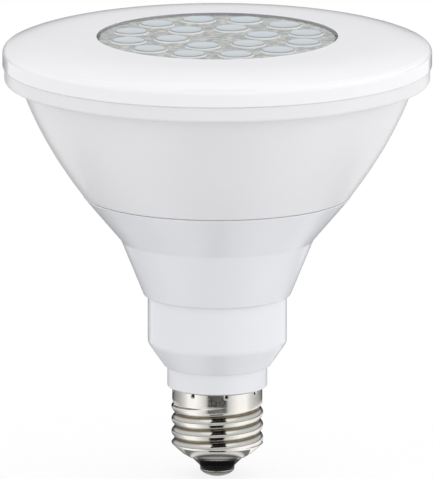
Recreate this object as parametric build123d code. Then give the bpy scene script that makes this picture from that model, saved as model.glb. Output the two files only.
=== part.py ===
from build123d import *

import os
from math import atan2, cos, degrees, pi, radians, sin, sqrt, tan

# A reflector bulb with a wide flanged head, a small multi-lens window and an Edison screw base.
# Millimetres. Z is the bulb's axis, pointing out of the front window. The origin is the tip of
# the centre contact, where the bulb seats in its lamp holder.

# Edison screw base, from the tip up
CONTACT_DIAMETER = 9.8
CONTACT_TIP_DIAMETER = 4.4
CONTACT_DOME = 1.6
CONTACT_RIM = 0.5
RIVET_DIAMETER = 3.0
RIVET_HEAD_DIAMETER = 7.0
RIVET_HEAD_HEIGHT = 0.6
INSULATOR_DIAMETER = 14.2
INSULATOR_HEIGHT = 3.0
INSULATOR_DEPTH = 2.4
SHELL_WALL = 0.45
SHELL_CONE_HEIGHT = 4.9
SHELL_BAND_DIAMETER = 25.7
SHELL_BAND_HEIGHT = 5.7
THREAD_DIAMETER = 26.2
THREAD_DEPTH = 0.95
THREAD_LENGTH = 10.45

# Driver cup: collar, taper and neck that show, and the sleeve hidden above them
COLLAR_DIAMETER = 28.5
COLLAR_HEIGHT = 5.6
COLLAR_EDGE = 0.8
TAPER_STEP = 0.9
TAPER_HEIGHT = 7.6
NECK_DIAMETER = 39.6
NECK_HEIGHT = 13.4
NECK_EDGE = 1.0
CUP_WALL = 1.8
CUP_FLANGE = 1.2
CUP_FLANGE_HEIGHT = 2.0
SPIGOT_WALL = 1.5
SLEEVE_STEP = 0.2

# Lower housing: a flare in two slopes from the neck to the seam
NECK_LIP = 1.1
LEDGE_HEIGHT = 4.2
FLARE_HEIGHT = 16.2
KNEE_DIAMETER = 55.0
SKIRT_HEIGHT = 12.6
SEAM_DIAMETER = 75.8
LOWER_WALL = 2.2
SEAM_RIM = 3.4
SEAM_SPIGOT = 2.0

# Upper housing: the metal bowl and its flange
BOWL_HEIGHT = 33.0
BOWL_BULGE = 1.7
BOWL_BANDS = 3
BOWL_WALL = 2.2
BOWL_RIM = 2.6
BOWL_FLOOR = 2.0
FLANGE_DIAMETER = 121.0
FLANGE_OVERHANG = 4.4
FLANGE_HEIGHT = 4.5
FLANGE_EDGE = 0.8
FLANGE_WALL = 2.9
FLANGE_WEB = 1.8
GASKET_HEIGHT = 1.0

# Front bezel
BEZEL_OVERHANG = 0.5
BEZEL_HEIGHT = 8.6
BEZEL_CROWN = 1.9
BEZEL_SHOULDER = 4.0
SHOULDER_CHORDS = 3
BEZEL_WALL = 2.2
BEZEL_SPIGOT_WALL = 2.1
WINDOW_DIAMETER = 68.6

# Lens plate: collimators on two rings behind one clear disc
LENS_RECESS = 0.7
LENS_FLANGE = 2.2
LENS_FLANGE_HEIGHT = 1.5
LENS_DIAMETER = 11.4
LENS_TIP_DIAMETER = 5.8
LENS_FACE_DIAMETER = 8.4
LENS_FACE_DISH = 0.5
LENS_DISH_DIAMETER = 5.0
LENS_SIDES = 16
LENS_GAP = 0.3
LENS_LEG_DIAMETER = 3.0
LENS_ANGLE = 12.0
INNER_RING_DIAMETER = 26.4
INNER_RING_COUNT = 6
OUTER_RING_DIAMETER = 51.4
OUTER_RING_COUNT = 12

# Light engine and heat spreader
EMITTER_WIDTH = 3.0
EMITTER_HEIGHT = 0.7
LED_BOARD_DIAMETER = 66.0
LED_BOARD_THICKNESS = 1.6
SPREADER_THICKNESS = 2.0
SPREADER_LEDGE = 1.0
LEAD_HOLE_DIAMETER = 8.8

# Screws that hold the LED board down
SCREW_DIAMETER = 3.0
SCREW_HEAD_DIAMETER = 5.4
SCREW_HEAD_HEIGHT = 1.9
SCREW_LENGTH = 6.0
SCREW_COUNT = 3
SCREW_CIRCLE = 36.4

# Driver board and what stands on it
DRIVER_THICKNESS = 1.6
DRIVER_OFFSET = 3.5
DRIVER_HEIGHT = 37.0
DRIVER_TAIL_WIDTH = 13.0
DRIVER_TAIL_HEIGHT = 11.0
RIB_WIDTH = 1.2
RIB_DEPTH = 3.0
RIB_HEIGHT = 26.0
CORE_WIDTH = 16.0
CORE_HEIGHT = 13.0
CORE_THICKNESS = 5.0
CORE_LEG = 4.0
BOBBIN_WALL = 0.6
BOBBIN_FLANGE_HEIGHT = 0.7
BOBBIN_BASE = 1.6
WINDING_THICKNESS = 1.7
INPUT_CAPACITOR_DIAMETER = 8.0
INPUT_CAPACITOR_LENGTH = 11.5
OUTPUT_CAPACITOR_DIAMETER = 10.0
OUTPUT_CAPACITOR_LENGTH = 12.5
FILM_CAPACITOR_SIZE = (11.0, 9.0, 5.0)
CHOKE_DIAMETER = 7.0
CHOKE_LENGTH = 8.5
CHOKE_GROOVE = 1.2
FUSE_DIAMETER = 3.2
FUSE_LENGTH = 8.0
RECTIFIER_SIZE = (4.8, 1.6, 4.0)
TRANSISTOR_SIZE = (6.5, 2.3, 6.1)
CHIP_SIZE = (5.0, 1.5, 4.0)
PART_SPACING = 1.5
LEAD_DIAMETER = 1.4
LEAD_SPACING = 2.6
LEAD_OVERLAP = 4.0
LEAD_END = 0.8

# Fits
SLIP_FIT = 0.1
SCREW_FIT = 0.05

# Radii
CONTACT_R = CONTACT_DIAMETER / 2
RIVET_R = RIVET_DIAMETER / 2
INSULATOR_R = INSULATOR_DIAMETER / 2
CREST_R = THREAD_DIAMETER / 2
ROOT_BORE_R = CREST_R - THREAD_DEPTH - SHELL_WALL
BAND_R = SHELL_BAND_DIAMETER / 2
BAND_BORE_R = BAND_R - SHELL_WALL
SPIGOT_R = BAND_BORE_R - SLIP_FIT
SPIGOT_BORE_R = SPIGOT_R - SPIGOT_WALL
COLLAR_R = COLLAR_DIAMETER / 2
TAPER_R = COLLAR_R + TAPER_STEP
NECK_R = NECK_DIAMETER / 2
SLEEVE_R = NECK_R - SLEEVE_STEP
CUP_BORE_R = NECK_R - CUP_WALL
TAPER_BORE_R = TAPER_R - CUP_WALL
CUP_FLANGE_R = NECK_R + CUP_FLANGE
LIP_R = NECK_R + NECK_LIP
KNEE_R = KNEE_DIAMETER / 2
SEAM_R = SEAM_DIAMETER / 2
SEAM_SEAT_R = SEAM_R - SEAM_RIM
SEAM_SPIGOT_R = SEAM_SEAT_R - SLIP_FIT
FLANGE_R = FLANGE_DIAMETER / 2
BOWL_TOP_R = FLANGE_R - FLANGE_OVERHANG
BOWL_BORE_R = BOWL_TOP_R - BOWL_RIM
MOUTH_R = FLANGE_R - FLANGE_WALL
HEAD_R = FLANGE_R + BEZEL_OVERHANG
BEZEL_SPIGOT_R = MOUTH_R - SLIP_FIT
WINDOW_R = WINDOW_DIAMETER / 2
LENS_DISC_R = WINDOW_R - SLIP_FIT
LENS_FLANGE_R = WINDOW_R + LENS_FLANGE
SCREW_R = SCREW_DIAMETER / 2
SCREW_HOLE_R = SCREW_R + SCREW_FIT
LEAD_R = LEAD_DIAMETER / 2
LEAD_HOLE_R = LEAD_HOLE_DIAMETER / 2

# Heights, stacked from the tip of the centre contact
Z_BUTTON_TOP = CONTACT_DOME + CONTACT_RIM
Z_SHELL_BOTTOM = Z_BUTTON_TOP + INSULATOR_HEIGHT
Z_INSULATOR_TOP = Z_SHELL_BOTTOM + INSULATOR_DEPTH
Z_RIVET_TOP = Z_INSULATOR_TOP + RIVET_HEAD_HEIGHT
Z_THREAD_BOTTOM = Z_SHELL_BOTTOM + SHELL_CONE_HEIGHT
Z_THREAD_TOP = Z_THREAD_BOTTOM + THREAD_LENGTH
Z_COLLAR_BOTTOM = Z_THREAD_TOP + SHELL_BAND_HEIGHT
Z_TAPER_BOTTOM = Z_COLLAR_BOTTOM + COLLAR_HEIGHT
Z_NECK_BOTTOM = Z_TAPER_BOTTOM + TAPER_HEIGHT
Z_NECK_TOP = Z_NECK_BOTTOM + NECK_HEIGHT
Z_LEDGE = Z_NECK_TOP + LEDGE_HEIGHT
Z_KNEE = Z_NECK_TOP + FLARE_HEIGHT
Z_SEAM = Z_KNEE + SKIRT_HEIGHT
Z_SPIGOT_FACE = Z_SEAM - SEAM_SPIGOT
Z_FLOOR_TOP = Z_SEAM + BOWL_FLOOR
Z_BOWL_TOP = Z_SEAM + BOWL_HEIGHT
Z_MOUTH_SEAT = Z_BOWL_TOP + FLANGE_WEB
Z_GASKET_TOP = Z_MOUTH_SEAT + GASKET_HEIGHT
Z_FLANGE_TOP = Z_BOWL_TOP + FLANGE_HEIGHT
Z_FRONT = Z_FLANGE_TOP + BEZEL_HEIGHT
Z_SHOULDER = Z_FRONT - BEZEL_CROWN
Z_LENS_FACE = Z_FRONT - LENS_RECESS
Z_LENS_SEAT = Z_FRONT - BEZEL_WALL
Z_LENS_BACK = Z_LENS_SEAT - LENS_FLANGE_HEIGHT
Z_SPREADER_TOP = Z_BOWL_TOP - SLIP_FIT
Z_SPREADER_UNDER = Z_SPREADER_TOP - SPREADER_THICKNESS
Z_LED_FACE = Z_SPREADER_TOP + LED_BOARD_THICKNESS
Z_LENS_TIP = Z_LED_FACE + EMITTER_HEIGHT + LENS_GAP
Z_SPIGOT_BOTTOM = Z_THREAD_TOP + SLIP_FIT
Z_DRIVER_SHOULDER = Z_NECK_BOTTOM
Z_DRIVER_TOP = Z_DRIVER_SHOULDER + DRIVER_HEIGHT
Z_DRIVER_BOTTOM = Z_DRIVER_SHOULDER - DRIVER_TAIL_HEIGHT

# The driver board stands behind the axis, so the leads that lie on its face run near the middle
DRIVER_FACE_Y = DRIVER_THICKNESS / 2 - DRIVER_OFFSET
DRIVER_BACK_Y = DRIVER_FACE_Y - DRIVER_THICKNESS
DRIVER_HALF_WIDTH = sqrt((CUP_BORE_R - SLIP_FIT) ** 2 - DRIVER_BACK_Y**2)
LEAD_Y = DRIVER_FACE_Y + LEAD_R

BOTTOM = (Align.CENTER, Align.CENTER, Align.MIN)
FRONT_FACE = (Align.CENTER, Align.MIN, Align.CENTER)
BACK_FACE = (Align.CENTER, Align.MAX, Align.CENTER)


def bowl_radius(z):
    """Radius of the bowl's outer wall at a height, swelling out in the middle."""
    share = (z - Z_SEAM) / BOWL_HEIGHT
    return SEAM_R + share * (BOWL_TOP_R - SEAM_R) + 4 * BOWL_BULGE * share * (1 - share)


def turned(*outline):
    """Solid turned about Z from a closed outline of (radius, height) points."""
    return revolve(Plane.XZ * make_face(Polyline(*outline, close=True)), axis=Axis.Z)


def column(radius, low, high, x=0.0, y=0.0):
    """Upright cylinder between two heights."""
    return Pos(x, y, low) * Cylinder(radius, high - low, align=BOTTOM)


def around(circle_radius, count, start_angle):
    """Centres spaced evenly on a circle."""
    angles = [radians(start_angle + 360 * i / count) for i in range(count)]
    return [(circle_radius * cos(a), circle_radius * sin(a)) for a in angles]


def lens_centres():
    """Centres of the collimators, the inner ring first."""
    inner = around(INNER_RING_DIAMETER / 2, INNER_RING_COUNT, LENS_ANGLE)
    return inner + around(OUTER_RING_DIAMETER / 2, OUTER_RING_COUNT, LENS_ANGLE)


def between_lenses(first):
    """Every other place halfway between two inner lenses, for the board's screws or the plate's legs."""
    half_step = 180 / INNER_RING_COUNT
    start = LENS_ANGLE + half_step * (1 + 2 * first)
    return around(SCREW_CIRCLE / 2, SCREW_COUNT, start)


def lead_places():
    """Where the two output leads rise from the driver board, side by side on its face."""
    return [(side * LEAD_SPACING / 2, LEAD_Y) for side in (1, -1)]


def centre_contact():
    """Blunt button riveted through the glass."""
    return turned(
        (0, 0),
        (CONTACT_TIP_DIAMETER / 2, 0),
        (CONTACT_R, CONTACT_DOME),
        (CONTACT_R, Z_BUTTON_TOP),
        (RIVET_R, Z_BUTTON_TOP),
        (RIVET_R, Z_INSULATOR_TOP),
        (RIVET_HEAD_DIAMETER / 2, Z_INSULATOR_TOP),
        (RIVET_HEAD_DIAMETER / 2, Z_RIVET_TOP),
        (0, Z_RIVET_TOP),
    )


def shell_cone_height(radius):
    """Height where the inside of the shell's cone, parallel to its outside, reaches a radius."""
    slope = SHELL_CONE_HEIGHT / (CREST_R - SHELL_WALL - INSULATOR_R)
    return Z_SHELL_BOTTOM + slope * (radius - INSULATOR_R)


def base_insulator():
    """Black glass between the button and the shell, seated in the shell's cone."""
    share = INSULATOR_DEPTH / (shell_cone_height(ROOT_BORE_R) - Z_SHELL_BOTTOM)
    top_r = INSULATOR_R + share * (ROOT_BORE_R - INSULATOR_R)
    return turned(
        (CONTACT_R + SLIP_FIT, Z_BUTTON_TOP),
        (INSULATOR_R - SLIP_FIT, Z_SHELL_BOTTOM),
        (top_r - SLIP_FIT, Z_INSULATOR_TOP),
        (RIVET_R + SCREW_FIT, Z_INSULATOR_TOP),
        (RIVET_R + SCREW_FIT, Z_BUTTON_TOP),
    )


def screw_shell():
    """Rolled shell from the glass to the collar; its thread lies between the crests and the bore."""
    return turned(
        (INSULATOR_R + SHELL_WALL, Z_SHELL_BOTTOM),
        (CREST_R, Z_THREAD_BOTTOM),
        (CREST_R, Z_THREAD_TOP),
        (BAND_R, Z_THREAD_TOP),
        (BAND_R, Z_COLLAR_BOTTOM),
        (BAND_BORE_R, Z_COLLAR_BOTTOM),
        (BAND_BORE_R, Z_THREAD_TOP),
        (ROOT_BORE_R, Z_THREAD_TOP),
        (ROOT_BORE_R, shell_cone_height(ROOT_BORE_R)),
        (INSULATOR_R, Z_SHELL_BOTTOM),
    )


def driver_cup():
    """Moulded neck: collar, taper, neck and sleeve, with a spigot that carries the screw shell."""
    edge_r = NECK_R - (NECK_R - TAPER_R) * NECK_EDGE / TAPER_HEIGHT
    cup = turned(
        (SPIGOT_R, Z_SPIGOT_BOTTOM),
        (SPIGOT_R, Z_COLLAR_BOTTOM),
        (COLLAR_R - COLLAR_EDGE, Z_COLLAR_BOTTOM),
        (COLLAR_R, Z_COLLAR_BOTTOM + COLLAR_EDGE),
        (COLLAR_R, Z_TAPER_BOTTOM),
        (TAPER_R, Z_TAPER_BOTTOM),
        (edge_r, Z_NECK_BOTTOM - NECK_EDGE),
        (NECK_R, Z_NECK_BOTTOM + NECK_EDGE),
        (NECK_R, Z_NECK_TOP),
        (SLEEVE_R, Z_NECK_TOP),
        (SLEEVE_R, Z_LEDGE),
        (CUP_FLANGE_R, Z_LEDGE),
        (CUP_FLANGE_R, Z_LEDGE + CUP_FLANGE_HEIGHT),
        (SLEEVE_R, Z_LEDGE + CUP_FLANGE_HEIGHT),
        (SLEEVE_R, Z_SPIGOT_FACE),
        (CUP_BORE_R, Z_SPIGOT_FACE),
        (CUP_BORE_R, Z_NECK_BOTTOM),
        (TAPER_BORE_R, Z_NECK_BOTTOM),
        (TAPER_BORE_R, Z_TAPER_BOTTOM),
        (SPIGOT_BORE_R, Z_TAPER_BOTTOM),
        (SPIGOT_BORE_R, Z_SPIGOT_BOTTOM),
    )
    bore = column(CUP_BORE_R + CUP_WALL / 2, Z_NECK_BOTTOM, Z_NECK_BOTTOM + RIB_HEIGHT)
    for side in (-1, 1):
        for rib_y in (DRIVER_FACE_Y + SLIP_FIT + RIB_WIDTH / 2, DRIVER_BACK_Y - SLIP_FIT - RIB_WIDTH / 2):
            rib_x = side * (DRIVER_HALF_WIDTH - RIB_DEPTH / 2 + CUP_WALL / 2)
            rib = Pos(rib_x, rib_y, Z_NECK_BOTTOM) * Box(
                RIB_DEPTH + CUP_WALL, RIB_WIDTH, RIB_HEIGHT, align=BOTTOM
            )
            cup += rib & bore
    return cup


def lower_housing():
    """Moulded flare between neck and seam, with a ledge for the cup and a seat for the bowl."""
    return turned(
        (NECK_R + SLIP_FIT, Z_NECK_TOP),
        (LIP_R, Z_NECK_TOP),
        (KNEE_R, Z_KNEE),
        (SEAM_R, Z_SEAM),
        (SEAM_SEAT_R, Z_SEAM),
        (SEAM_SEAT_R, Z_SPIGOT_FACE - SLIP_FIT),
        (KNEE_R - LOWER_WALL, Z_KNEE),
        (CUP_FLANGE_R + SLIP_FIT, Z_LEDGE + CUP_FLANGE_HEIGHT),
        (CUP_FLANGE_R + SLIP_FIT, Z_LEDGE),
        (NECK_R + SLIP_FIT, Z_LEDGE),
    )


def upper_housing():
    """Cast metal bowl: swelling wall, thick floor that plugs the seam, and the flange under the bezel."""
    levels = [Z_SEAM + BOWL_HEIGHT * band / BOWL_BANDS for band in range(BOWL_BANDS + 1)]
    outside = [(bowl_radius(z), z) for z in levels]
    return turned(
        *outside,
        (FLANGE_R - FLANGE_EDGE, Z_BOWL_TOP),
        (FLANGE_R, Z_BOWL_TOP + FLANGE_EDGE),
        (FLANGE_R, Z_FLANGE_TOP),
        (MOUTH_R, Z_FLANGE_TOP),
        (MOUTH_R, Z_MOUTH_SEAT),
        (BOWL_BORE_R, Z_MOUTH_SEAT),
        (BOWL_BORE_R, Z_SPREADER_UNDER),
        (BOWL_BORE_R - SPREADER_LEDGE, Z_SPREADER_UNDER),
        (bowl_radius(Z_FLOOR_TOP) - BOWL_WALL, Z_FLOOR_TOP),
        (LEAD_HOLE_R, Z_FLOOR_TOP),
        (LEAD_HOLE_R, Z_SPIGOT_FACE),
        (SEAM_SPIGOT_R, Z_SPIGOT_FACE),
        (SEAM_SPIGOT_R, Z_SEAM),
    )


def front_gasket():
    """Flat seal squeezed between the flange's seat and the bezel's spigot."""
    inner = BOWL_BORE_R + SLIP_FIT
    return column(BEZEL_SPIGOT_R, Z_MOUTH_SEAT, Z_GASKET_TOP) - column(inner, Z_MOUTH_SEAT, Z_GASKET_TOP)


def bezel_shoulder():
    """Points that round the bezel from its side up to its crown."""
    slope = atan2(BEZEL_CROWN, HEAD_R - WINDOW_R)
    z_centre = Z_SHOULDER + BEZEL_SHOULDER * (tan(slope) - 1 / cos(slope))
    turns = [(pi / 2 - slope) * chord / SHOULDER_CHORDS for chord in range(SHOULDER_CHORDS + 1)]
    return [(HEAD_R - BEZEL_SHOULDER * (1 - cos(a)), z_centre + BEZEL_SHOULDER * sin(a)) for a in turns]


def front_bezel():
    """Moulded ring round the window: crowned face, round shoulder, and a spigot inside the flange."""
    inner_wall = HEAD_R - BEZEL_WALL
    spigot_inner = BEZEL_SPIGOT_R - BEZEL_SPIGOT_WALL
    z_ceiling = Z_SHOULDER - BEZEL_WALL
    z_joggle = Z_FLANGE_TOP + BEZEL_WALL
    return turned(
        (HEAD_R, Z_FLANGE_TOP),
        *bezel_shoulder(),
        (WINDOW_R, Z_FRONT),
        (WINDOW_R, Z_LENS_SEAT),
        (LENS_FLANGE_R + SLIP_FIT, Z_LENS_SEAT),
        (LENS_FLANGE_R + SLIP_FIT, z_ceiling),
        (inner_wall, z_ceiling),
        (inner_wall, z_joggle),
        (spigot_inner, z_joggle),
        (spigot_inner, Z_GASKET_TOP),
        (BEZEL_SPIGOT_R, Z_GASKET_TOP),
        (BEZEL_SPIGOT_R, Z_FLANGE_TOP),
    )


def faceted_cone(wide, narrow, z_wide, height):
    """Truncated cone with a few flat sides that narrows downwards, for a shape that repeats."""
    spread = (wide - narrow) / 2 * cos(pi / LENS_SIDES)
    slope = degrees(atan2(spread, height))
    rising = extrude(RegularPolygon(wide / 2, LENS_SIDES), height, taper=slope)
    return Pos(0, 0, z_wide) * Rot(180, 0, 0) * rising


def collimator():
    """One lens behind the plate, narrowing to its emitter."""
    return faceted_cone(LENS_DIAMETER, LENS_TIP_DIAMETER, Z_LENS_BACK, Z_LENS_BACK - Z_LENS_TIP)


def lens_dish():
    """Cutter for the shallow dish in the front of one lens."""
    return faceted_cone(LENS_FACE_DIAMETER, LENS_DISH_DIAMETER, Z_LENS_FACE, LENS_FACE_DISH)


def lens_array():
    """Clear moulded plate that fills the window, with its collimators and legs on the LED board."""
    plate = turned(
        (0, Z_LENS_BACK),
        (LENS_FLANGE_R, Z_LENS_BACK),
        (LENS_FLANGE_R, Z_LENS_SEAT),
        (LENS_DISC_R, Z_LENS_SEAT),
        (LENS_DISC_R, Z_LENS_FACE),
        (0, Z_LENS_FACE),
    )
    lenses = [Pos(x, y, 0) * collimator() for x, y in lens_centres()]
    legs = [column(LENS_LEG_DIAMETER / 2, Z_LED_FACE, Z_LENS_BACK, x, y) for x, y in between_lenses(1)]
    dishes = [Pos(x, y, 0) * lens_dish() for x, y in lens_centres()]
    return plate + lenses + legs - dishes


def led_emitters():
    """Surface-mounted emitters, one under each lens."""
    chip = Box(EMITTER_WIDTH, EMITTER_WIDTH, EMITTER_HEIGHT, align=BOTTOM)
    return Part() + [Pos(x, y, Z_LED_FACE) * Rot(0, 0, LENS_ANGLE) * chip for x, y in lens_centres()]


def screw_holes(low, high):
    """Cutters for the board's screws."""
    return [column(SCREW_HOLE_R, low, high, x, y) for x, y in between_lenses(0)]


def led_board():
    """Metal-core board drilled for its screws and its two leads."""
    low = Z_SPREADER_TOP
    high = Z_LED_FACE
    leads = [column(LEAD_R + SLIP_FIT, low, high, x, y) for x, y in lead_places()]
    return column(LED_BOARD_DIAMETER / 2, low, high) - screw_holes(low, high) - leads


def heat_spreader():
    """Aluminium disc pressed into the bowl's mouth, which carries the LED board."""
    low = Z_SPREADER_UNDER
    high = Z_SPREADER_TOP
    disc = column(BOWL_BORE_R - SLIP_FIT, low, high) - column(LEAD_HOLE_R, low, high)
    return disc - screw_holes(low, high)


def board_screws():
    """Screws through the LED board into the spreader."""
    head_r = SCREW_HEAD_DIAMETER / 2
    screw = turned(
        (0, Z_LED_FACE - SCREW_LENGTH),
        (SCREW_R, Z_LED_FACE - SCREW_LENGTH),
        (SCREW_R, Z_LED_FACE),
        (head_r, Z_LED_FACE),
        (head_r, Z_LED_FACE + SCREW_HEAD_HEIGHT),
        (0, Z_LED_FACE + SCREW_HEAD_HEIGHT),
    )
    return Part() + [Pos(x, y, 0) * screw for x, y in between_lenses(0)]


def driver_board():
    """Upright circuit board in the cup's slots, with a narrow tail inside the base."""
    main = Pos(0, DRIVER_BACK_Y, Z_DRIVER_SHOULDER) * Box(
        2 * DRIVER_HALF_WIDTH, DRIVER_THICKNESS, DRIVER_HEIGHT, align=(Align.CENTER, Align.MIN, Align.MIN)
    )
    tail = Pos(0, DRIVER_BACK_Y, Z_DRIVER_BOTTOM) * Box(
        DRIVER_TAIL_WIDTH, DRIVER_THICKNESS, DRIVER_TAIL_HEIGHT, align=(Align.CENTER, Align.MIN, Align.MIN)
    )
    return main + tail


# Rows of parts on the driver board, from its shoulder up
Z_ROW_FILM = Z_DRIVER_SHOULDER + PART_SPACING + FILM_CAPACITOR_SIZE[2] / 2
Z_ROW_CORE = Z_ROW_FILM + FILM_CAPACITOR_SIZE[2] / 2 + PART_SPACING + CORE_HEIGHT / 2
Z_ROW_CANS = Z_ROW_CORE + CORE_HEIGHT / 2 + PART_SPACING + OUTPUT_CAPACITOR_DIAMETER / 2
CORE_Y = DRIVER_FACE_Y + BOBBIN_BASE + WINDING_THICKNESS + BOBBIN_WALL + CORE_THICKNESS / 2
FORMER_WIDTH = CORE_LEG + 2 * BOBBIN_WALL
FORMER_DEPTH = CORE_THICKNESS + 2 * BOBBIN_WALL
WINDOW_HEIGHT = CORE_HEIGHT - CORE_LEG
COIL_WIDTH = FORMER_WIDTH + 2 * WINDING_THICKNESS
COIL_DEPTH = FORMER_DEPTH + 2 * WINDING_THICKNESS
CORE_WINDOW = (CORE_WIDTH - 2 * CORE_LEG) / 2


def transformer_core():
    """Two ferrite halves that meet across the middle, each with a centre leg."""
    block = Pos(0, CORE_Y, Z_ROW_CORE) * Box(CORE_WIDTH, CORE_THICKNESS, CORE_HEIGHT)
    for side in (-1, 1):
        window_x = side * (CORE_LEG + CORE_WINDOW) / 2
        block -= Pos(window_x, CORE_Y, Z_ROW_CORE) * Box(CORE_WINDOW, CORE_THICKNESS, WINDOW_HEIGHT)
    middle = Plane((0, 0, Z_ROW_CORE))
    return Compound(split(block, middle, keep=Keep.BOTH).solids())


def transformer_bobbin():
    """Former round the centre leg, with two flanges and the base that stands on the board."""
    tall = WINDOW_HEIGHT - 2 * SLIP_FIT
    wide = CORE_WIDTH - CORE_LEG - 2 * SLIP_FIT
    at = Pos(0, CORE_Y, Z_ROW_CORE)
    body = at * Box(FORMER_WIDTH, FORMER_DEPTH, tall)
    flange = Box(min(wide, COIL_WIDTH), COIL_DEPTH, BOBBIN_FLANGE_HEIGHT)
    rise = (tall - BOBBIN_FLANGE_HEIGHT) / 2
    body += [Pos(0, CORE_Y, Z_ROW_CORE + side * rise) * flange for side in (-1, 1)]
    base = Pos(0, DRIVER_FACE_Y, Z_ROW_CORE) * Box(COIL_WIDTH, BOBBIN_BASE, tall, align=FRONT_FACE)
    leg = at * Box(CORE_LEG + 2 * SCREW_FIT, CORE_THICKNESS + 2 * SCREW_FIT, tall)
    return body + base - leg


def transformer_winding():
    """Taped winding between the bobbin's flanges."""
    at = Pos(0, CORE_Y, Z_ROW_CORE)
    tall = WINDOW_HEIGHT - 2 * SLIP_FIT - 2 * BOBBIN_FLANGE_HEIGHT
    coil = Box(FORMER_WIDTH + WINDING_THICKNESS, COIL_DEPTH, tall)
    return at * (coil - Box(FORMER_WIDTH, FORMER_DEPTH, tall))


def standing_can(x, diameter, length):
    """Electrolytic can standing out from the board's face."""
    at = Pos(x, DRIVER_FACE_Y, Z_ROW_CANS)
    return at * Rot(-90, 0, 0) * Cylinder(diameter / 2, length, align=BOTTOM)


def input_capacitor():
    x = -(INPUT_CAPACITOR_DIAMETER + PART_SPACING) / 2
    return standing_can(x, INPUT_CAPACITOR_DIAMETER, INPUT_CAPACITOR_LENGTH)


def output_capacitor():
    x = (OUTPUT_CAPACITOR_DIAMETER + PART_SPACING) / 2
    return standing_can(x, OUTPUT_CAPACITOR_DIAMETER, OUTPUT_CAPACITOR_LENGTH)


def film_capacitor():
    x = -(FILM_CAPACITOR_SIZE[0] + PART_SPACING) / 2
    return Pos(x, DRIVER_FACE_Y, Z_ROW_FILM) * Box(*FILM_CAPACITOR_SIZE, align=FRONT_FACE)


def choke_coil():
    """Drum choke: a waisted spool standing on the board."""
    drum_r = CHOKE_DIAMETER / 2
    waist_r = drum_r - CHOKE_GROOVE
    drum = turned(
        (0, 0),
        (drum_r, 0),
        (drum_r, CHOKE_GROOVE),
        (waist_r, CHOKE_GROOVE),
        (waist_r, CHOKE_LENGTH - CHOKE_GROOVE),
        (drum_r, CHOKE_LENGTH - CHOKE_GROOVE),
        (drum_r, CHOKE_LENGTH),
        (0, CHOKE_LENGTH),
    )
    x = (CHOKE_DIAMETER + PART_SPACING) / 2
    return Pos(x, DRIVER_FACE_Y, Z_ROW_FILM) * Rot(-90, 0, 0) * drum


def fuse_resistor():
    """Axial fusible resistor lying along the board's tail."""
    z_low = Z_DRIVER_BOTTOM + PART_SPACING
    x = -(FUSE_DIAMETER + LEAD_DIAMETER + PART_SPACING) / 2
    return column(FUSE_DIAMETER / 2, z_low, z_low + FUSE_LENGTH, x, DRIVER_FACE_Y + FUSE_DIAMETER / 2)


def back_block(size, z):
    """Surface-mounted package on the back of the driver board."""
    return Pos(0, DRIVER_BACK_Y, z) * Box(*size, align=BACK_FACE)


def bridge_rectifier():
    return back_block(RECTIFIER_SIZE, Z_ROW_FILM)


def power_transistor():
    return back_block(TRANSISTOR_SIZE, Z_ROW_CORE)


def control_chip():
    return back_block(CHIP_SIZE, Z_ROW_CANS)


def lead(start, end):
    """Insulated wire pulled straight between two points."""
    run = Line(start, end)
    return sweep(Plane(origin=start, z_dir=run % 0) * Circle(LEAD_R), path=run)


def output_lead(place):
    """Lead from the face of the driver board straight up through the LED board."""
    return column(LEAD_R, Z_DRIVER_TOP - LEAD_OVERLAP, Z_LED_FACE + LEAD_END, *place)


def live_lead():
    """Lead from the board's tail down to the centre contact's rivet."""
    return column(LEAD_R, Z_RIVET_TOP, Z_DRIVER_BOTTOM + LEAD_OVERLAP, 0, LEAD_Y)


def neutral_lead():
    """Lead from the board's tail down past the spigot and out to the screw shell."""
    x = DRIVER_TAIL_WIDTH / 2 - LEAD_DIAMETER
    x_end = sqrt((ROOT_BORE_R - LEAD_DIAMETER) ** 2 - LEAD_Y**2)
    z_end = (Z_THREAD_BOTTOM + Z_THREAD_TOP) / 2
    return lead((x, LEAD_Y, Z_DRIVER_BOTTOM + LEAD_OVERLAP), (x_end, LEAD_Y, z_end))


PIECES = {
    "centre_contact": centre_contact(),
    "base_insulator": base_insulator(),
    "screw_shell": screw_shell(),
    "driver_cup": driver_cup(),
    "lower_housing": lower_housing(),
    "upper_housing": upper_housing(),
    "front_gasket": front_gasket(),
    "front_bezel": front_bezel(),
    "lens_array": lens_array(),
    "led_emitters": led_emitters(),
    "led_board": led_board(),
    "heat_spreader": heat_spreader(),
    "board_screws": board_screws(),
    "driver_board": driver_board(),
    "transformer_core": transformer_core(),
    "transformer_bobbin": transformer_bobbin(),
    "transformer_winding": transformer_winding(),
    "input_capacitor": input_capacitor(),
    "output_capacitor": output_capacitor(),
    "film_capacitor": film_capacitor(),
    "choke_coil": choke_coil(),
    "fuse_resistor": fuse_resistor(),
    "bridge_rectifier": bridge_rectifier(),
    "power_transistor": power_transistor(),
    "control_chip": control_chip(),
    "positive_lead": output_lead(lead_places()[0]),
    "negative_lead": output_lead(lead_places()[1]),
    "live_lead": live_lead(),
    "neutral_lead": neutral_lead(),
}

os.makedirs("parts", exist_ok=True)
for name, piece in PIECES.items():
    export_step(piece, f"parts/{name}.step")
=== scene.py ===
"""Dressed model of a flanged reflector bulb, laid out as an add-on and run as a script."""

import math

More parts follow.
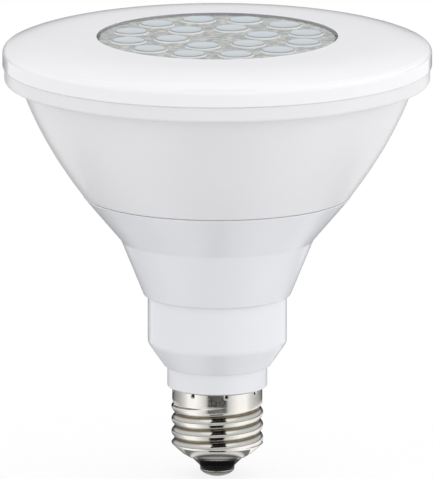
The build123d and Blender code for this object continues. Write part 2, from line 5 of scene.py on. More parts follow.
import bmesh
import bpy
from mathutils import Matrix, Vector


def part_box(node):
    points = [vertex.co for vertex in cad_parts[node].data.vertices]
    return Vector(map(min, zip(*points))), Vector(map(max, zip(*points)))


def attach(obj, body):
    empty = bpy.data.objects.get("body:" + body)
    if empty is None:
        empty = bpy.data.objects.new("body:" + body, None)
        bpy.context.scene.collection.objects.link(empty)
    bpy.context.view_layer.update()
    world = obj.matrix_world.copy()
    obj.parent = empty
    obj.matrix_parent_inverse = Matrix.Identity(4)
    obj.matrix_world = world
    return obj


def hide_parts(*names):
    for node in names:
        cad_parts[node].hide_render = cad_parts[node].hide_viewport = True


bl_info = {
    "name": "Reflector Bulb",
    "version": (1, 0, 0),
    "blender": (4, 5, 0),
    "location": "View3D > Sidebar > Bulb",
    "description": "Dresses the packed reflector bulb with turned shells, a rolled thread and a lens plate",
    "category": "Object",
}

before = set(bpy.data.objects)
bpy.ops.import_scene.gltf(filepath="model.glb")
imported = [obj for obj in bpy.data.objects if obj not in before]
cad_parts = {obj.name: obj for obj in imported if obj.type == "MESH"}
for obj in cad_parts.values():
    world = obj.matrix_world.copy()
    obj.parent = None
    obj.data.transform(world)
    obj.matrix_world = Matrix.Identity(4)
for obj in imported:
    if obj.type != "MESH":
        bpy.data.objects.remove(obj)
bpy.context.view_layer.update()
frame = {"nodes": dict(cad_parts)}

MM = 0.001
BODY = "root"

# Heights and radii that the solids give, in metres
HEAD_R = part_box("front_bezel")[1].x
Z_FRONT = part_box("front_bezel")[1].z
Z_GASKET_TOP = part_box("front_bezel")[0].z
FLANGE_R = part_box("upper_housing")[1].x
Z_FLANGE_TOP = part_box("upper_housing")[1].z
Z_SPIGOT_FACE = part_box("upper_housing")[0].z
SEAM_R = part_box("lower_housing")[1].x
Z_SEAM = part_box("lower_housing")[1].z
Z_NECK_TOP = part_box("lower_housing")[0].z
CUP_FLANGE_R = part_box("driver_cup")[1].x
Z_CUP_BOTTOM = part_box("driver_cup")[0].z
CREST_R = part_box("screw_shell")[1].x
Z_SHELL_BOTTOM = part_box("screw_shell")[0].z
Z_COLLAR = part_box("screw_shell")[1].z
CONTACT_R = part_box("centre_contact")[1].x
Z_RIVET_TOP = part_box("centre_contact")[1].z
Z_GLASS_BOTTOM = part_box("base_insulator")[0].z
Z_GLASS_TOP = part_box("base_insulator")[1].z
LENS_FLANGE_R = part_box("lens_array")[1].x
Z_LENS_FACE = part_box("lens_array")[1].z
Z_LED_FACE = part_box("led_board")[1].z
Z_EMITTER_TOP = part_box("led_emitters")[1].z

# Fits that two pieces share: a sliding clearance, and the cup's flange in the lower housing
SLIP = 0.1 * MM
Z_CUP_LEDGE = Z_NECK_TOP + 4.2 * MM
Z_CUP_FLANGE = Z_CUP_LEDGE + 2.0 * MM

# How finely curves are cut, the most of an edge that a fillet takes, and where shading breaks
ARC_STEP = math.radians(9)
SUPPORT = 0.06 * MM
ON_AXIS = SUPPORT / 10
FILLET_SHARE = 0.48
SHARP_ANGLE = math.radians(32)
ROUND = 192
SHELL_ROUND = 400
SMALL_ROUND = 128
LENS_ROUND = 48
STAGE_ROUND = 96

WHITE = (1, 1, 1, 1)


def linear(code):
    """Linear RGBA of an sRGB hex colour."""
    parts = [int(code[i : i + 2], 16) / 255 for i in (1, 3, 5)]
    bent = [c / 12.92 if c <= 0.04045 else ((c + 0.055) / 1.055) ** 2.4 for c in parts]
    return (*bent, 1.0)


def add(tree, kind, inputs=None, out=0, stops=(), **settings):
    """Adds a node with its settings and colour stops, fills or links its inputs, and gives one output."""
    node = tree.nodes.new(kind)
    for key, value in settings.items():
        setattr(node, key, value)
    for k, (place, colour) in enumerate(stops):
        if k == len(node.color_ramp.elements):
            node.color_ramp.elements.new(1.0)
        node.color_ramp.elements[k].position = place
        node.color_ramp.elements[k].color = (*colour[:3], 1)
    for place, value in (inputs or {}).items():
        for item in value if isinstance(value, list) else [value]:
            if isinstance(item, bpy.types.NodeSocket):
                tree.links.new(item, node.inputs[place])
            else:
                node.inputs[place].default_value = item
    return node.outputs[out] if node.outputs else None


def length(name, description, millimetres):
    """A length that the user may change."""
    return bpy.props.FloatProperty(
        name=name, description=description, default=millimetres * MM, unit="LENGTH", precision=5
    )


def angle(name, description, degrees):
    """An angle that the user may change."""
    return bpy.props.FloatProperty(
        name=name, description=description, default=math.radians(degrees), subtype="ANGLE"
    )


def count(name, description, number, least):
    """A number of things that the user may change."""
    return bpy.props.IntProperty(name=name, description=description, default=number, min=least)


def tint(name, description, code):
    """A colour that the user may change."""
    return bpy.props.FloatVectorProperty(
        name=name, description=description, default=linear(code)[:3], subtype="COLOR", size=3, min=0, max=1
    )


class BulbShape(bpy.types.PropertyGroup):
    """Sizes of the turned mouldings and the casting."""

    shoulder: length("Shoulder", "Radius that rounds the bezel from its side to its face", 2.5)
    crown: length("Crown", "How far the bezel's domed face falls from the window to its side", 3.5)
    bezel_wall: length("Bezel Wall", "Thickness of the bezel", 2.2)
    window: length("Window Radius", "Radius of the opening in the bezel", 34.3)
    window_edge: length("Window Edge", "Radius on the edge of the opening", 0.15)
    window_lip: length("Window Lip", "Thickness of the bezel at the edge of the opening", 0.25)
    slot: length("Slot", "How far the slot under the window's edge goes back", 1.4)
    parting_edge: length("Parting Edge", "Radius on edges where two mouldings meet", 0.35)
    seam_gap: length("Seam Gap", "Height of the fine groove at the seam of the housings", 0.3)
    seam_lift: length("Seam Lift", "How far the seam's line lies above the joint inside", 0.6)
    flange_edge: length("Flange Edge", "Radius under the flange", 1.1)
    flange_height: length("Flange Height", "Height of the flange below the bezel", 4.5)
    bowl_top: length("Bowl Radius", "Radius of the bowl where it meets the flange", 56.1)
    bowl_bulge: length("Bowl Bulge", "How far the bowl's wall swells from a straight cone", 1.7)
    knee: length("Knee Radius", "Radius of the lower housing where its slope changes", 27.5)
    knee_height: length("Knee Height", "Height of the knee", 68.95)
    knee_round: length("Knee Round", "Radius that softens the knee", 2.5)
    neck: length("Neck Radius", "Radius of the straight neck", 19.8)
    lip: length("Lip", "How far the lower housing stands proud of the neck", 1.1)
    neck_bottom: length("Neck Bottom", "Height where the taper meets the neck", 39.0)
    neck_round: length("Neck Round", "Radius that rounds the neck into its taper", 2.4)
    taper: length("Taper Radius", "Radius at the foot of the taper", 15.15)
    collar: length("Collar Radius", "Radius of the collar over the screw shell", 14.25)
    collar_top: length("Collar Top", "Height where the taper steps in to the collar", 32.25)
    collar_edge: length("Collar Edge", "Radius round the foot of the collar", 0.4)


class ScrewShape(bpy.types.PropertyGroup):
    """Sizes of the screw base."""

    pitch: length("Pitch", "Rise of the thread in one turn", 3.629)
    depth: length("Depth", "Height of the thread from root to crest", 0.95)
    crest: length("Crest Height", "Height of the crest on the +X side", 18.3)
    thread_end: length("Thread End", "How far the thread goes on below that crest", 8.9)
    band: length("Band Radius", "Radius of the plain band above the thread", 12.85)
    bore: length("Bore", "Radius inside the shell", 11.7)
    cone: length("Cone Radius", "Radius where the thread's cone meets the rolled mouth", 9.95)
    cone_foot: length("Cone Foot", "How far the cone stands above the shell's lower end", 1.57)
    mouth: length("Mouth", "Radius of the opening at the shell's lower end", 7.65)
    stake_depth: length("Stake Depth", "Depth of the punch marks that hold the shell", 0.43)
    stake_size: length("Stake Size", "Spread of a punch mark", 0.42)
    stake_drop: length("Stake Drop", "How far the punch marks lie under the collar", 0.9)
    stakes: count("Stakes", "Number of punch marks round the shell", 8, 1)
    cone_slope: bpy.props.FloatProperty(
        name="Cone Slope", description="How fast the cone widens with height", default=1.107, min=0.1
    )
    first_stake: angle("First Stake", "Angle of one punch mark from the +X side", 282)


class LensShape(bpy.types.PropertyGroup):
    """Sizes of the lens plate."""

    inner_ring: length("Inner Ring", "Radius of the inner ring of lenses", 13.2)
    outer_ring: length("Outer Ring", "Radius of the outer ring of lenses", 25.7)
    inner_count: count("Inner Count", "Lenses on the inner ring", 6, 3)
    outer_count: count("Outer Count", "Lenses on the outer ring", 12, 3)
    start: angle("Start Angle", "Angle of the first lens from the +X side", 12)
    disc: length("Disc Radius", "Radius of the plate inside the window", 33.6)
    disc_height: length("Disc Height", "How far the disc stands above its flange", 1.5)
    flange_height: length("Flange Height", "Thickness of the flange behind the bezel", 1.5)
    radius: length("Lens Radius", "Radius of a lens where it leaves the plate", 5.7)
    tip: length("Tip Radius", "Radius of a lens over its emitter", 2.9)
    face: length("Face Radius", "Radius of the dished front of a lens", 4.4)
    dish: length("Dish Depth", "Depth of the dish in a lens", 0.35)
    rise: length("Rise", "How far a lens stands above the plate between the lenses", 0.55)
    edge: length("Edge Radius", "Radius at the foot of the wall round the front of a lens", 5.25)
    gap: length("Gap", "Space between a lens and its emitter", 0.3)
    leg_circle: length("Leg Circle", "Radius of the circle of legs", 18.2)
    leg: length("Leg Radius", "Radius of a leg on the board", 1.5)
    legs: count("Legs", "Legs under the plate", 3, 1)


class BulbColours(bpy.types.PropertyGroup):
    """Colours of the main finishes."""

    bezel: tint("Bezel", "Moulded bezel", "#F6F6F9")
    # Painted highlight: the lighter line along the bezel's shoulder
    shoulder: tint("Shoulder", "Buffed line on the bezel's shoulder", "#FBFBFD")
    bowl: tint("Bowl", "Powder coat on the cast bowl", "#EDEDEF")
    housing: tint("Housing", "Satin moulded housing and neck", "#EBECF0")
    shell: tint("Shell", "Nickel plate on the screw shell", "#EDEAE4")
    # Painted shade in the roots of the thread
    root: tint("Root", "Duller plate in the roots of the thread", "#857D6D")
    # Painted shade in the punch marks
    stake_painted_shade: tint("Dirt", "Dirt in the punch marks", "#2B2722")
    lens: tint("Lens", "Faces of the lenses", "#DFEAF1")
    # Painted image of the emitter seen through the clear lens
    spot: tint("Spot", "Emitter seen through a lens", "#E6E8DF")
    # Painted shade: the dark line under the face of a lens
    rim_painted_shade: tint("Rim", "Dark line under the face of a lens", "#9AA0A3")
    # Frosted wall, made paler with a painted highlight
    frost_and_highlight: tint("Frost", "Frosted wall round a lens", "#F4F6F5")
    # Painted shade: grey of the board seen through the plate
    web: tint("Web", "Plate between the lenses", "#BDC1C1")
    # Painted shade in darker patches
    web_painted_shade: tint("Web Shade", "Darker patches of the plate", "#A4A9A9")
    # Painted highlight: warm glints
    glint: tint("Glint", "Warm glints of the plate", "#E2E0D6")


class StageLook(bpy.types.PropertyGroup):
    """Camera and light."""

    elevation: angle("Elevation", "Height of the camera above the horizon", 11.9)
    distance: length("Distance", "From the camera to the bulb's axis", 5500)
    aim: length("Aim Height", "Height on the axis that the camera looks at", 68.5)
    aside: length("Aim Aside", "How far the camera stands to the left of the axis", 0.22)
    frame: length("Frame Height", "Height of the picture at the bulb", 136.27)
    light: bpy.props.FloatProperty(
        name="Light", description="Level of the soft light all round", default=1.28, min=0
    )
    softbox: bpy.props.FloatProperty(
        name="Softbox", description="Power of the softbox on the right", default=1.7, min=0, unit="POWER"
    )


def rounded(corners):
    """Closed outline from (radius, height) corners, with an arc where a corner also has a fillet."""
    outline = []
    for i, (r, z, *fillet) in enumerate(corners):
        here = Vector((r, z))
        before = Vector(corners[i - 1][:2]) - here
        after = Vector(corners[(i + 1) % len(corners)][:2]) - here
        if not fillet or fillet[0] < SUPPORT:
            outline.append(here)
            continue
        half = before.angle(after) / 2
        longest = FILLET_SHARE * min(before.length, after.length)
        reach = min(fillet[0] / math.tan(half), longest)
        before.normalize()
        after.normalize()
        radius = reach * math.tan(half)
        centre = here + (before + after).normalized() * (radius / math.sin(half))
        start = here + before * reach - centre
        end = here + after * reach - centre
        sweep = math.pi - 2 * half
        steps = max(3, math.ceil(sweep / ARC_STEP))
        outline.append(centre + start + before * SUPPORT)
        for k in range(steps + 1):
            share = sweep * k / steps
            arm = start * math.sin(sweep - share) + end * math.sin(share)
            outline.append(centre + arm / math.sin(sweep))
        outline.append(centre + end + after * SUPPORT)
    return outline


def turned(name, outline, segments=ROUND):
    """Mesh turned about Z from a closed outline of (radius, height) points."""
    bm = bmesh.new()
    turns = [2 * math.pi * k / segments for k in range(segments)]
    rings = []
    for r, z in outline:
        if r < ON_AXIS:
            rings.append([bm.verts.new((0, 0, z))])
        else:
            rings.append([bm.verts.new((r * math.cos(a), r * math.sin(a), z)) for a in turns])
    for i, ring in enumerate(rings):
        other = rings[(i + 1) % len(rings)]
        if len(ring) == 1 and len(other) == 1:
            continue
        for k in range(segments):
            n = (k + 1) % segments
            corners = [ring[k % len(ring)], ring[n % len(ring)], other[n % len(other)], other[k % len(other)]]
            bm.faces.new(list(dict.fromkeys(corners)))
    bmesh.ops.recalc_face_normals(bm, faces=bm.faces)
    mesh = bpy.data.meshes.new(name)
    bm.to_mesh(mesh)
    bm.free()
    return mesh


def stairs(r, z, *moves):
    """Corners of a stepped wall from (r, z) on, where the moves are heights and radii by turns."""
    corners = [(r, z)]
    for k, value in enumerate(moves):
        r, z = (value, z) if k % 2 else (r, value)
        corners.append((r, z))
    return corners


def smooth(mesh):
    """Smooth shading, with edges kept sharp where faces turn by more than a fillet's step."""
    mesh.polygons.foreach_set("use_smooth", [True] * len(mesh.polygons))
    mesh.set_sharp_from_angle(angle=SHARP_ANGLE)


def show(name, mesh):
    """Object for a mesh, in the scene."""
    piece = bpy.data.objects.new(name, mesh)
    bpy.context.scene.collection.objects.link(piece)
    return piece


def fix(name, mesh, node):
    """Smooth piece that stands for a solid, rides with the bulb and takes its finish from a slot."""
    smooth(mesh)
    piece = show(name, mesh)
    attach(piece, BODY)
    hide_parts(node)


def turned_piece(name, corners, finish, node, segments=ROUND):
    """Turned piece with rounded corners and a finish, in place of a solid."""
    mesh = turned(name, rounded(corners), segments)
    mesh.materials.append(finish)
    fix(name, mesh, node)


def node_tree(name, sizes):
    """Empty geometry node tree with a geometry socket each way and named inputs."""
    tree = bpy.data.node_groups.new(name, "GeometryNodeTree")
    tree.interface.new_socket("Geometry", in_out="INPUT", socket_type="NodeSocketGeometry")
    tree.interface.new_socket("Geometry", in_out="OUTPUT", socket_type="NodeSocketGeometry")
    for label, value in sizes.items():
        kind = "NodeSocketFloat"
        if isinstance(value, int):
            kind = "NodeSocketInt"
        elif isinstance(value, bpy.types.Object):
            kind = "NodeSocketObject"
        tree.interface.new_socket(label, in_out="INPUT", socket_type=kind)
    return tree


def grown(name, mesh, tree, sizes):
    """Runs a tree on a mesh and gives the result as a plain mesh."""
    seed = show(name + "_seed", mesh)
    modifier = seed.modifiers.new(tree.name, "NODES")
    modifier.node_group = tree
    for item in tree.interface.items_tree:
        if item.in_out == "INPUT" and item.name in sizes:
            modifier[item.identifier] = sizes[item.name]
    bpy.context.view_layer.update()
    evaluated = seed.evaluated_get(bpy.context.evaluated_depsgraph_get())
    result = bpy.data.meshes.new_from_object(evaluated)
    seed.modifiers.clear()
    bpy.data.objects.remove(seed)
    bpy.data.meshes.remove(mesh)
    result.name = name
    return result


# Finishes


def grained(name, roughness, spread, grain, relief, **constants):
    """Material whose gloss and relief vary with one grain. Grain and relief are in millimetres.

    spread is how far roughness moves either way.
    """
    material = bpy.data.materials.new(name)
    material.use_nodes = True
    tree = material.node_tree
    surface = tree.nodes["Principled BSDF"]
    for socket, value in constants.items():
        surface.inputs[socket.replace("_", " ").title().replace("Ior", "IOR")].default_value = value
    place = add(tree, "ShaderNodeTexCoord", out="Object")
    fine = add(tree, "ShaderNodeTexNoise", {"Vector": place, "Scale": 1 / (grain * MM), "Detail": 2})
    ends = {3: roughness - spread, 4: roughness + spread}
    gloss = add(tree, "ShaderNodeMapRange", {0: fine, 1: 0.3, 2: 0.7, **ends})
    tree.links.new(gloss, surface.inputs["Roughness"])
    bump = add(tree, "ShaderNodeBump", {"Height": fine, "Strength": 1.0, "Distance": relief * MM})
    tree.links.new(bump, surface.inputs["Normal"])
    return material


def speckled(name, colour, shade, roughness, spread, grain, relief, **constants):
    """Grained material whose colour varies in clouds of the same grain, down to a share of it, shade."""
    material = grained(name, roughness, spread, grain, relief, **constants)
    tree = material.node_tree
    place = add(tree, "ShaderNodeTexCoord", out="Object")
    cloud = add(tree, "ShaderNodeTexNoise", {"Vector": place, "Scale": 1 / (14 * grain * MM), "Detail": 3})
    darkest = [c * shade for c in colour[:3]]
    paint = add(tree, "ShaderNodeValToRGB", {"Fac": cloud}, stops=((0.3, darkest), (0.7, colour)))
    tree.links.new(paint, tree.nodes["Principled BSDF"].inputs["Base Color"])
    return material


def moulded_polycarbonate(colours, shape):
    """Polycarbonate from a polished mould: even, clean white with a soft gloss, and a painted highlight on
    its shoulder.

    Its own grain is finer than a pixel, so it is drawn at 0.8 mm. A slightly lighter line along the shoulder
    is a painted highlight in its base colour.
    """
    material = speckled("polycarbonate_moulded", colours.bezel, 0.985, 0.14, 0.012, 0.8, 0.0005, ior=1.585)
    tree = material.node_tree
    colour = tree.nodes["Principled BSDF"].inputs["Base Color"]
    place = add(tree, "ShaderNodeTexCoord", out="Object")
    height = add(tree, "ShaderNodeSeparateXYZ", {0: place}, out=2)
    # Painted highlight: a lighter base colour in a band along the shoulder
    painted_highlight_height = Z_FRONT - shape.crown - 0.9 * MM
    off = add(tree, "ShaderNodeMath", {0: height, 1: painted_highlight_height}, operation="SUBTRACT")
    apart = add(tree, "ShaderNodeMath", {0: off}, operation="ABSOLUTE")
    soft = {"interpolation_type": "SMOOTHSTEP"}
    line = add(tree, "ShaderNodeMapRange", {0: apart, 1: 0.9 * MM, 2: 0.3 * MM}, **soft)
    plain = colour.links[0].from_socket
    whiter = {0: line, 6: plain, 7: (*colours.shoulder, 1)}
    tree.links.new(add(tree, "ShaderNodeMix", whiter, out=2, data_type="RGBA"), colour)
    return material


def rolled_nickel(colours, screw):
    """Nickel plate on rolled brass: bright and warm, with fine lines round it and small specks.

    The roots of the thread are painted darker, a painted shade that stops at the cone below, and the punch
    marks are painted near black, a painted shade in the dents.
    """
    material = speckled("nickel_plate_rolled", colours.shell, 0.94, 0.1, 0.03, 0.35, 0.002, metallic=1.0)
    tree = material.node_tree
    surface = tree.nodes["Principled BSDF"]
    place = add(tree, "ShaderNodeTexCoord", out="Object")
    height = add(tree, "ShaderNodeSeparateXYZ", {0: place}, out=2)
    flat = add(tree, "ShaderNodeVectorMath", {0: place, 1: (1, 1, 0)}, operation="MULTIPLY")
    radius = add(tree, "ShaderNodeVectorMath", {0: flat}, out="Value", operation="LENGTH")
    # Painted shade: the plate is painted darker near the root radius of the thread, except on the cone below
    # the thread
    above = add(tree, "ShaderNodeMath", {0: radius, 1: CREST_R - screw.depth}, operation="SUBTRACT")
    apart = add(tree, "ShaderNodeMath", {0: above}, operation="ABSOLUTE")
    soft = {"interpolation_type": "SMOOTHSTEP"}
    proud = add(tree, "ShaderNodeMapRange", {0: apart, 1: 0.1 * MM, 2: 0.5 * MM}, **soft)
    end = screw.crest - screw.thread_end
    on_cone = add(tree, "ShaderNodeMapRange", {0: height, 1: end, 2: end + 0.4 * MM, 3: 1.0, 4: 0.0})
    clean = add(tree, "ShaderNodeMath", {0: proud, 1: on_cone}, operation="MAXIMUM")
    plate = surface.inputs["Base Color"].links[0].from_socket
    root_painted_shade = add(tree, "ShaderNodeMix", {0: clean, 6: (*colours.root, 1), 7: plate}, out=2, data_type="RGBA")
    # Painted shade: inside the punch marks, deeper than the band, the plate is painted near black
    level = screw.band
    shallow = add(tree, "ShaderNodeMapRange", {0: radius, 1: level - 0.3 * MM, 2: level - 0.12 * MM})
    marks_end = Z_COLLAR - 2 * screw.stake_drop
    below = add(tree, "ShaderNodeMath", {0: height, 1: marks_end}, operation="LESS_THAN")
    outside_marks = add(tree, "ShaderNodeMath", {0: shallow, 1: below}, operation="MAXIMUM")
    plate_with_painted_shade = add(tree, "ShaderNodeMix", {0: outside_marks, 6: (*colours.stake_painted_shade, 1), 7: root_painted_shade}, out=2, data_type="RGBA")
    tree.links.new(plate_with_painted_shade, surface.inputs["Base Color"])
    # Rolling lines 0.12 mm apart run round the shell, so the pattern is squeezed along the axis
    squeezed = add(tree, "ShaderNodeMapping", {"Vector": place, "Scale": (60, 60, 1 / (0.12 * MM))})
    lines = add(tree, "ShaderNodeTexNoise", {"Vector": squeezed, "Scale": 1.0, "Detail": 1})
    speck = surface.inputs["Normal"].links[0].from_socket
    relief = {"Height": lines, "Strength": 1.0, "Distance": 0.0015 * MM, "Normal": speck}
    tree.links.new(add(tree, "ShaderNodeBump", relief), surface.inputs["Normal"])
    return material


def moulded_acrylic(colours, lens):
    """Acrylic from a polished mould: clear and slightly cool on the lenses, frosted on their walls. Its
    colour holds painted shade, painted highlights and the emitters seen through.

    Shrinking leaves slow waves about 3 mm across. Between the lenses the plate is painted grey in patches
    about 2 mm across: painted shade of the board seen through it, with darker painted shade and warm painted
    glints.
    """
    material = grained("acrylic_moulded_clear", 0.06, 0.02, 3.0, 0.004, ior=1.49, transmission_weight=0.2)
    tree = material.node_tree
    away = add(tree, "ShaderNodeAttribute", out="Fac", attribute_name="lens_distance")
    reach = lens.edge + 3 * MM
    zone = add(tree, "ShaderNodeMapRange", {0: away, 2: reach})
    # From the axis out, all painted: the emitter seen through as a warm spot, the cool face, painted shade at
    # the top of the wall, and the frosted foot of the wall, paler with a painted highlight
    stops = (
        (0.6 * MM, colours.spot),
        (1.3 * MM, colours.lens),
        (lens.face - 0.1 * MM, colours.lens),
        (lens.face + 0.1 * MM, colours.rim_painted_shade),
        (lens.face + 0.26 * MM, colours.rim_painted_shade),
        (lens.face + 0.36 * MM, colours.frost_and_highlight),
    )
    shares = [(distance / reach, colour) for distance, colour in stops]
    paint = add(tree, "ShaderNodeValToRGB", {"Fac": zone}, stops=shares)
    # Between the lenses, painted: grey for the shaded board seen through, darker patches of painted shade and
    # warm painted glints
    place = add(tree, "ShaderNodeTexCoord", out="Object")
    glint = add(tree, "ShaderNodeTexNoise", {"Vector": place, "Scale": 1 / (2 * MM), "Detail": 2})
    patches = ((0.36, colours.web_painted_shade), (0.5, colours.web), (0.66, colours.glint))
    web = add(tree, "ShaderNodeValToRGB", {"Fac": glint}, stops=patches)
    height = add(tree, "ShaderNodeSeparateXYZ", {0: place}, out=2)
    foot = {0: height, 1: Z_LENS_FACE + 0.06 * MM, 2: Z_LENS_FACE + 0.02 * MM}
    between = add(tree, "ShaderNodeMapRange", foot)
    whole = add(tree, "ShaderNodeMix", {0: between, 6: paint, 7: web}, out=2, data_type="RGBA")
    tree.links.new(whole, tree.nodes["Principled BSDF"].inputs["Base Color"])
    return material


class BULB_OT_front_bezel(bpy.types.Operator):
    """Turns the white bezel round the window"""

    bl_idname = "bulb.front_bezel"
    bl_label = "Front Bezel"

    def execute(self, context):
        shape = context.scene.bulb_shape
        finish = moulded_polycarbonate(context.scene.bulb_colours, shape)
        # The face falls gently by the window and ever more steeply to the side, where the shoulder starts
        gentle = 1 / 7
        face = [(shape.window, Z_FRONT, shape.window_edge)]
        for k in range(1, 19):
            share = k / 20
            fall = shape.crown * (gentle * share + (1 - gentle) * share**4)
            face.append((shape.window + (HEAD_R - shape.window) * share, Z_FRONT - fall))
        wall = shape.bezel_wall
        inner = HEAD_R - wall
        spigot = FLANGE_R - 3.0 * MM
        spigot_inner = spigot - 2.1 * MM
        slot_end = shape.window + shape.slot
        slot_roof = Z_FRONT - 1.6 * shape.window_lip
        lens_seat = Z_FRONT - wall
        pocket = LENS_FLANGE_R + SLIP
        ceiling = lens_seat - 1.9 * MM
        joggle = Z_FLANGE_TOP + wall
        corners = [
            (HEAD_R, Z_FLANGE_TOP, shape.parting_edge),
            (HEAD_R, Z_FRONT - shape.crown, shape.shoulder),
            *reversed(face),
            (shape.window, Z_FRONT - shape.window_lip),
            *stairs(slot_end, slot_roof, lens_seat, pocket, ceiling, inner, joggle),
            *stairs(spigot_inner, joggle, Z_GASKET_TOP, spigot, Z_FLANGE_TOP),
        ]
        turned_piece("bezel_ring", corners, finish, "front_bezel")
        return {"FINISHED"}


class BULB_OT_housings(bpy.types.Operator):
    """Turns the cast bowl with its flange and the moulded flare under it"""

    bl_idname = "bulb.housings"
    bl_label = "Housings"

    def execute(self, context):
        shape = context.scene.bulb_shape
        colours = context.scene.bulb_colours
        # Powder coat baked on cast aluminium: a dull white with a faint orange peel about 1.2 mm across
        coat = speckled("powder_coat_baked", colours.bowl, 0.985, 0.3, 0.012, 1.2, 0.001, ior=1.5)
        edge = shape.parting_edge
        z_bowl = Z_FLANGE_TOP - shape.flange_height
        z_seam = Z_SEAM + shape.seam_lift
        r_seam = SEAM_R + 0.75 * shape.seam_lift
        bowl = [(r_seam, z_seam, edge / 2)]
        rows = 24
        for k in range(1, rows + 1):
            share = k / rows
            swell = 4 * shape.bowl_bulge * share * (1 - share)
            r = r_seam + share * (shape.bowl_top - r_seam) + swell
            bowl.append((r, z_seam + share * (z_bowl - z_seam)))
        mouth = FLANGE_R - 2.9 * MM
        seat = z_bowl + 1.8 * MM
        bore = shape.bowl_top - 2.6 * MM
        ledge = z_bowl - 2.1 * MM
        ledge_inner = bore - 1.0 * MM
        floor = Z_SPIGOT_FACE + 4.0 * MM
        floor_edge = SEAM_R - 0.6 * MM
        spigot = SEAM_R - 3.5 * MM
        lead_hole = 4.4 * MM
        corners = bowl + [
            (FLANGE_R, z_bowl, shape.flange_edge),
            (FLANGE_R, Z_FLANGE_TOP, edge),
            *stairs(mouth, Z_FLANGE_TOP, seat, bore, ledge, ledge_inner),
            (floor_edge, floor),
            *stairs(lead_hole, floor, Z_SPIGOT_FACE, spigot, z_seam),
        ]
        turned_piece("cast_bowl", corners, coat, "upper_housing")

        # Filled nylon from a fine-sparked mould: a cool white satin. The spark grain is drawn at 0.9 mm.
        satin = speckled("nylon_moulded_satin", colours.housing, 0.985, 0.26, 0.012, 0.9, 0.0008, ior=1.53)
        sleeve = shape.neck + SLIP
        groove = CUP_FLANGE_R + SLIP
        seam_seat = spigot + SLIP
        seam_back = r_seam - 0.9 * MM
        z_groove = z_seam - shape.seam_gap
        lip_edge = 0.7 * MM
        knee_inner = shape.knee - 2.2 * MM
        corners = [
            (sleeve, Z_NECK_TOP),
            (shape.neck + shape.lip, Z_NECK_TOP, lip_edge),
            (shape.knee, shape.knee_height, shape.knee_round),
            (r_seam, z_groove, edge / 2),
            *stairs(seam_back, z_groove, z_seam, seam_seat, Z_SPIGOT_FACE - SLIP),
            (knee_inner, shape.knee_height),
            *stairs(groove, Z_CUP_FLANGE, Z_CUP_LEDGE, sleeve),
        ]
        turned_piece("flare_moulding", corners, satin, "lower_housing")
        return {"FINISHED"}


class BULB_OT_driver_cup(bpy.types.Operator):
    """Turns the neck, taper and collar"""

    bl_idname = "bulb.driver_cup"
    bl_label = "Driver Cup"

    def execute(self, context):
        shape = context.scene.bulb_shape
        white = context.scene.bulb_colours.housing
        # Filled nylon as on the flare, a touch glossier where it was turned out of a plain mould
        satin = speckled("nylon_moulded_neck", white, 0.985, 0.22, 0.015, 0.7, 0.0008, ior=1.53)
        wall = 1.8 * MM
        sleeve = shape.neck - 0.2 * MM
        bore = shape.neck - wall
        taper_bore = shape.taper - wall
        spigot = context.scene.bulb_screw.band - 0.55 * MM
        spigot_bore = spigot - 1.5 * MM
        step_root, step_edge, neck_edge = 0.25 * MM, 0.3 * MM, 0.15 * MM
        corners = [
            *stairs(spigot, Z_CUP_BOTTOM, Z_COLLAR),
            (shape.collar, Z_COLLAR, shape.collar_edge),
            (shape.collar, shape.collar_top, step_root),
            (shape.taper, shape.collar_top, step_edge),
            (shape.neck, shape.neck_bottom, shape.neck_round),
            (shape.neck, Z_NECK_TOP, neck_edge),
            *stairs(sleeve, Z_NECK_TOP, Z_CUP_LEDGE, CUP_FLANGE_R, Z_CUP_FLANGE, sleeve, Z_SPIGOT_FACE),
            *stairs(bore, Z_SPIGOT_FACE, shape.neck_bottom, taper_bore, shape.collar_top),
            *stairs(spigot_bore, shape.collar_top, Z_CUP_BOTTOM),
        ]
        turned_piece("neck_moulding", corners, satin, "driver_cup")
        return {"FINISHED"}


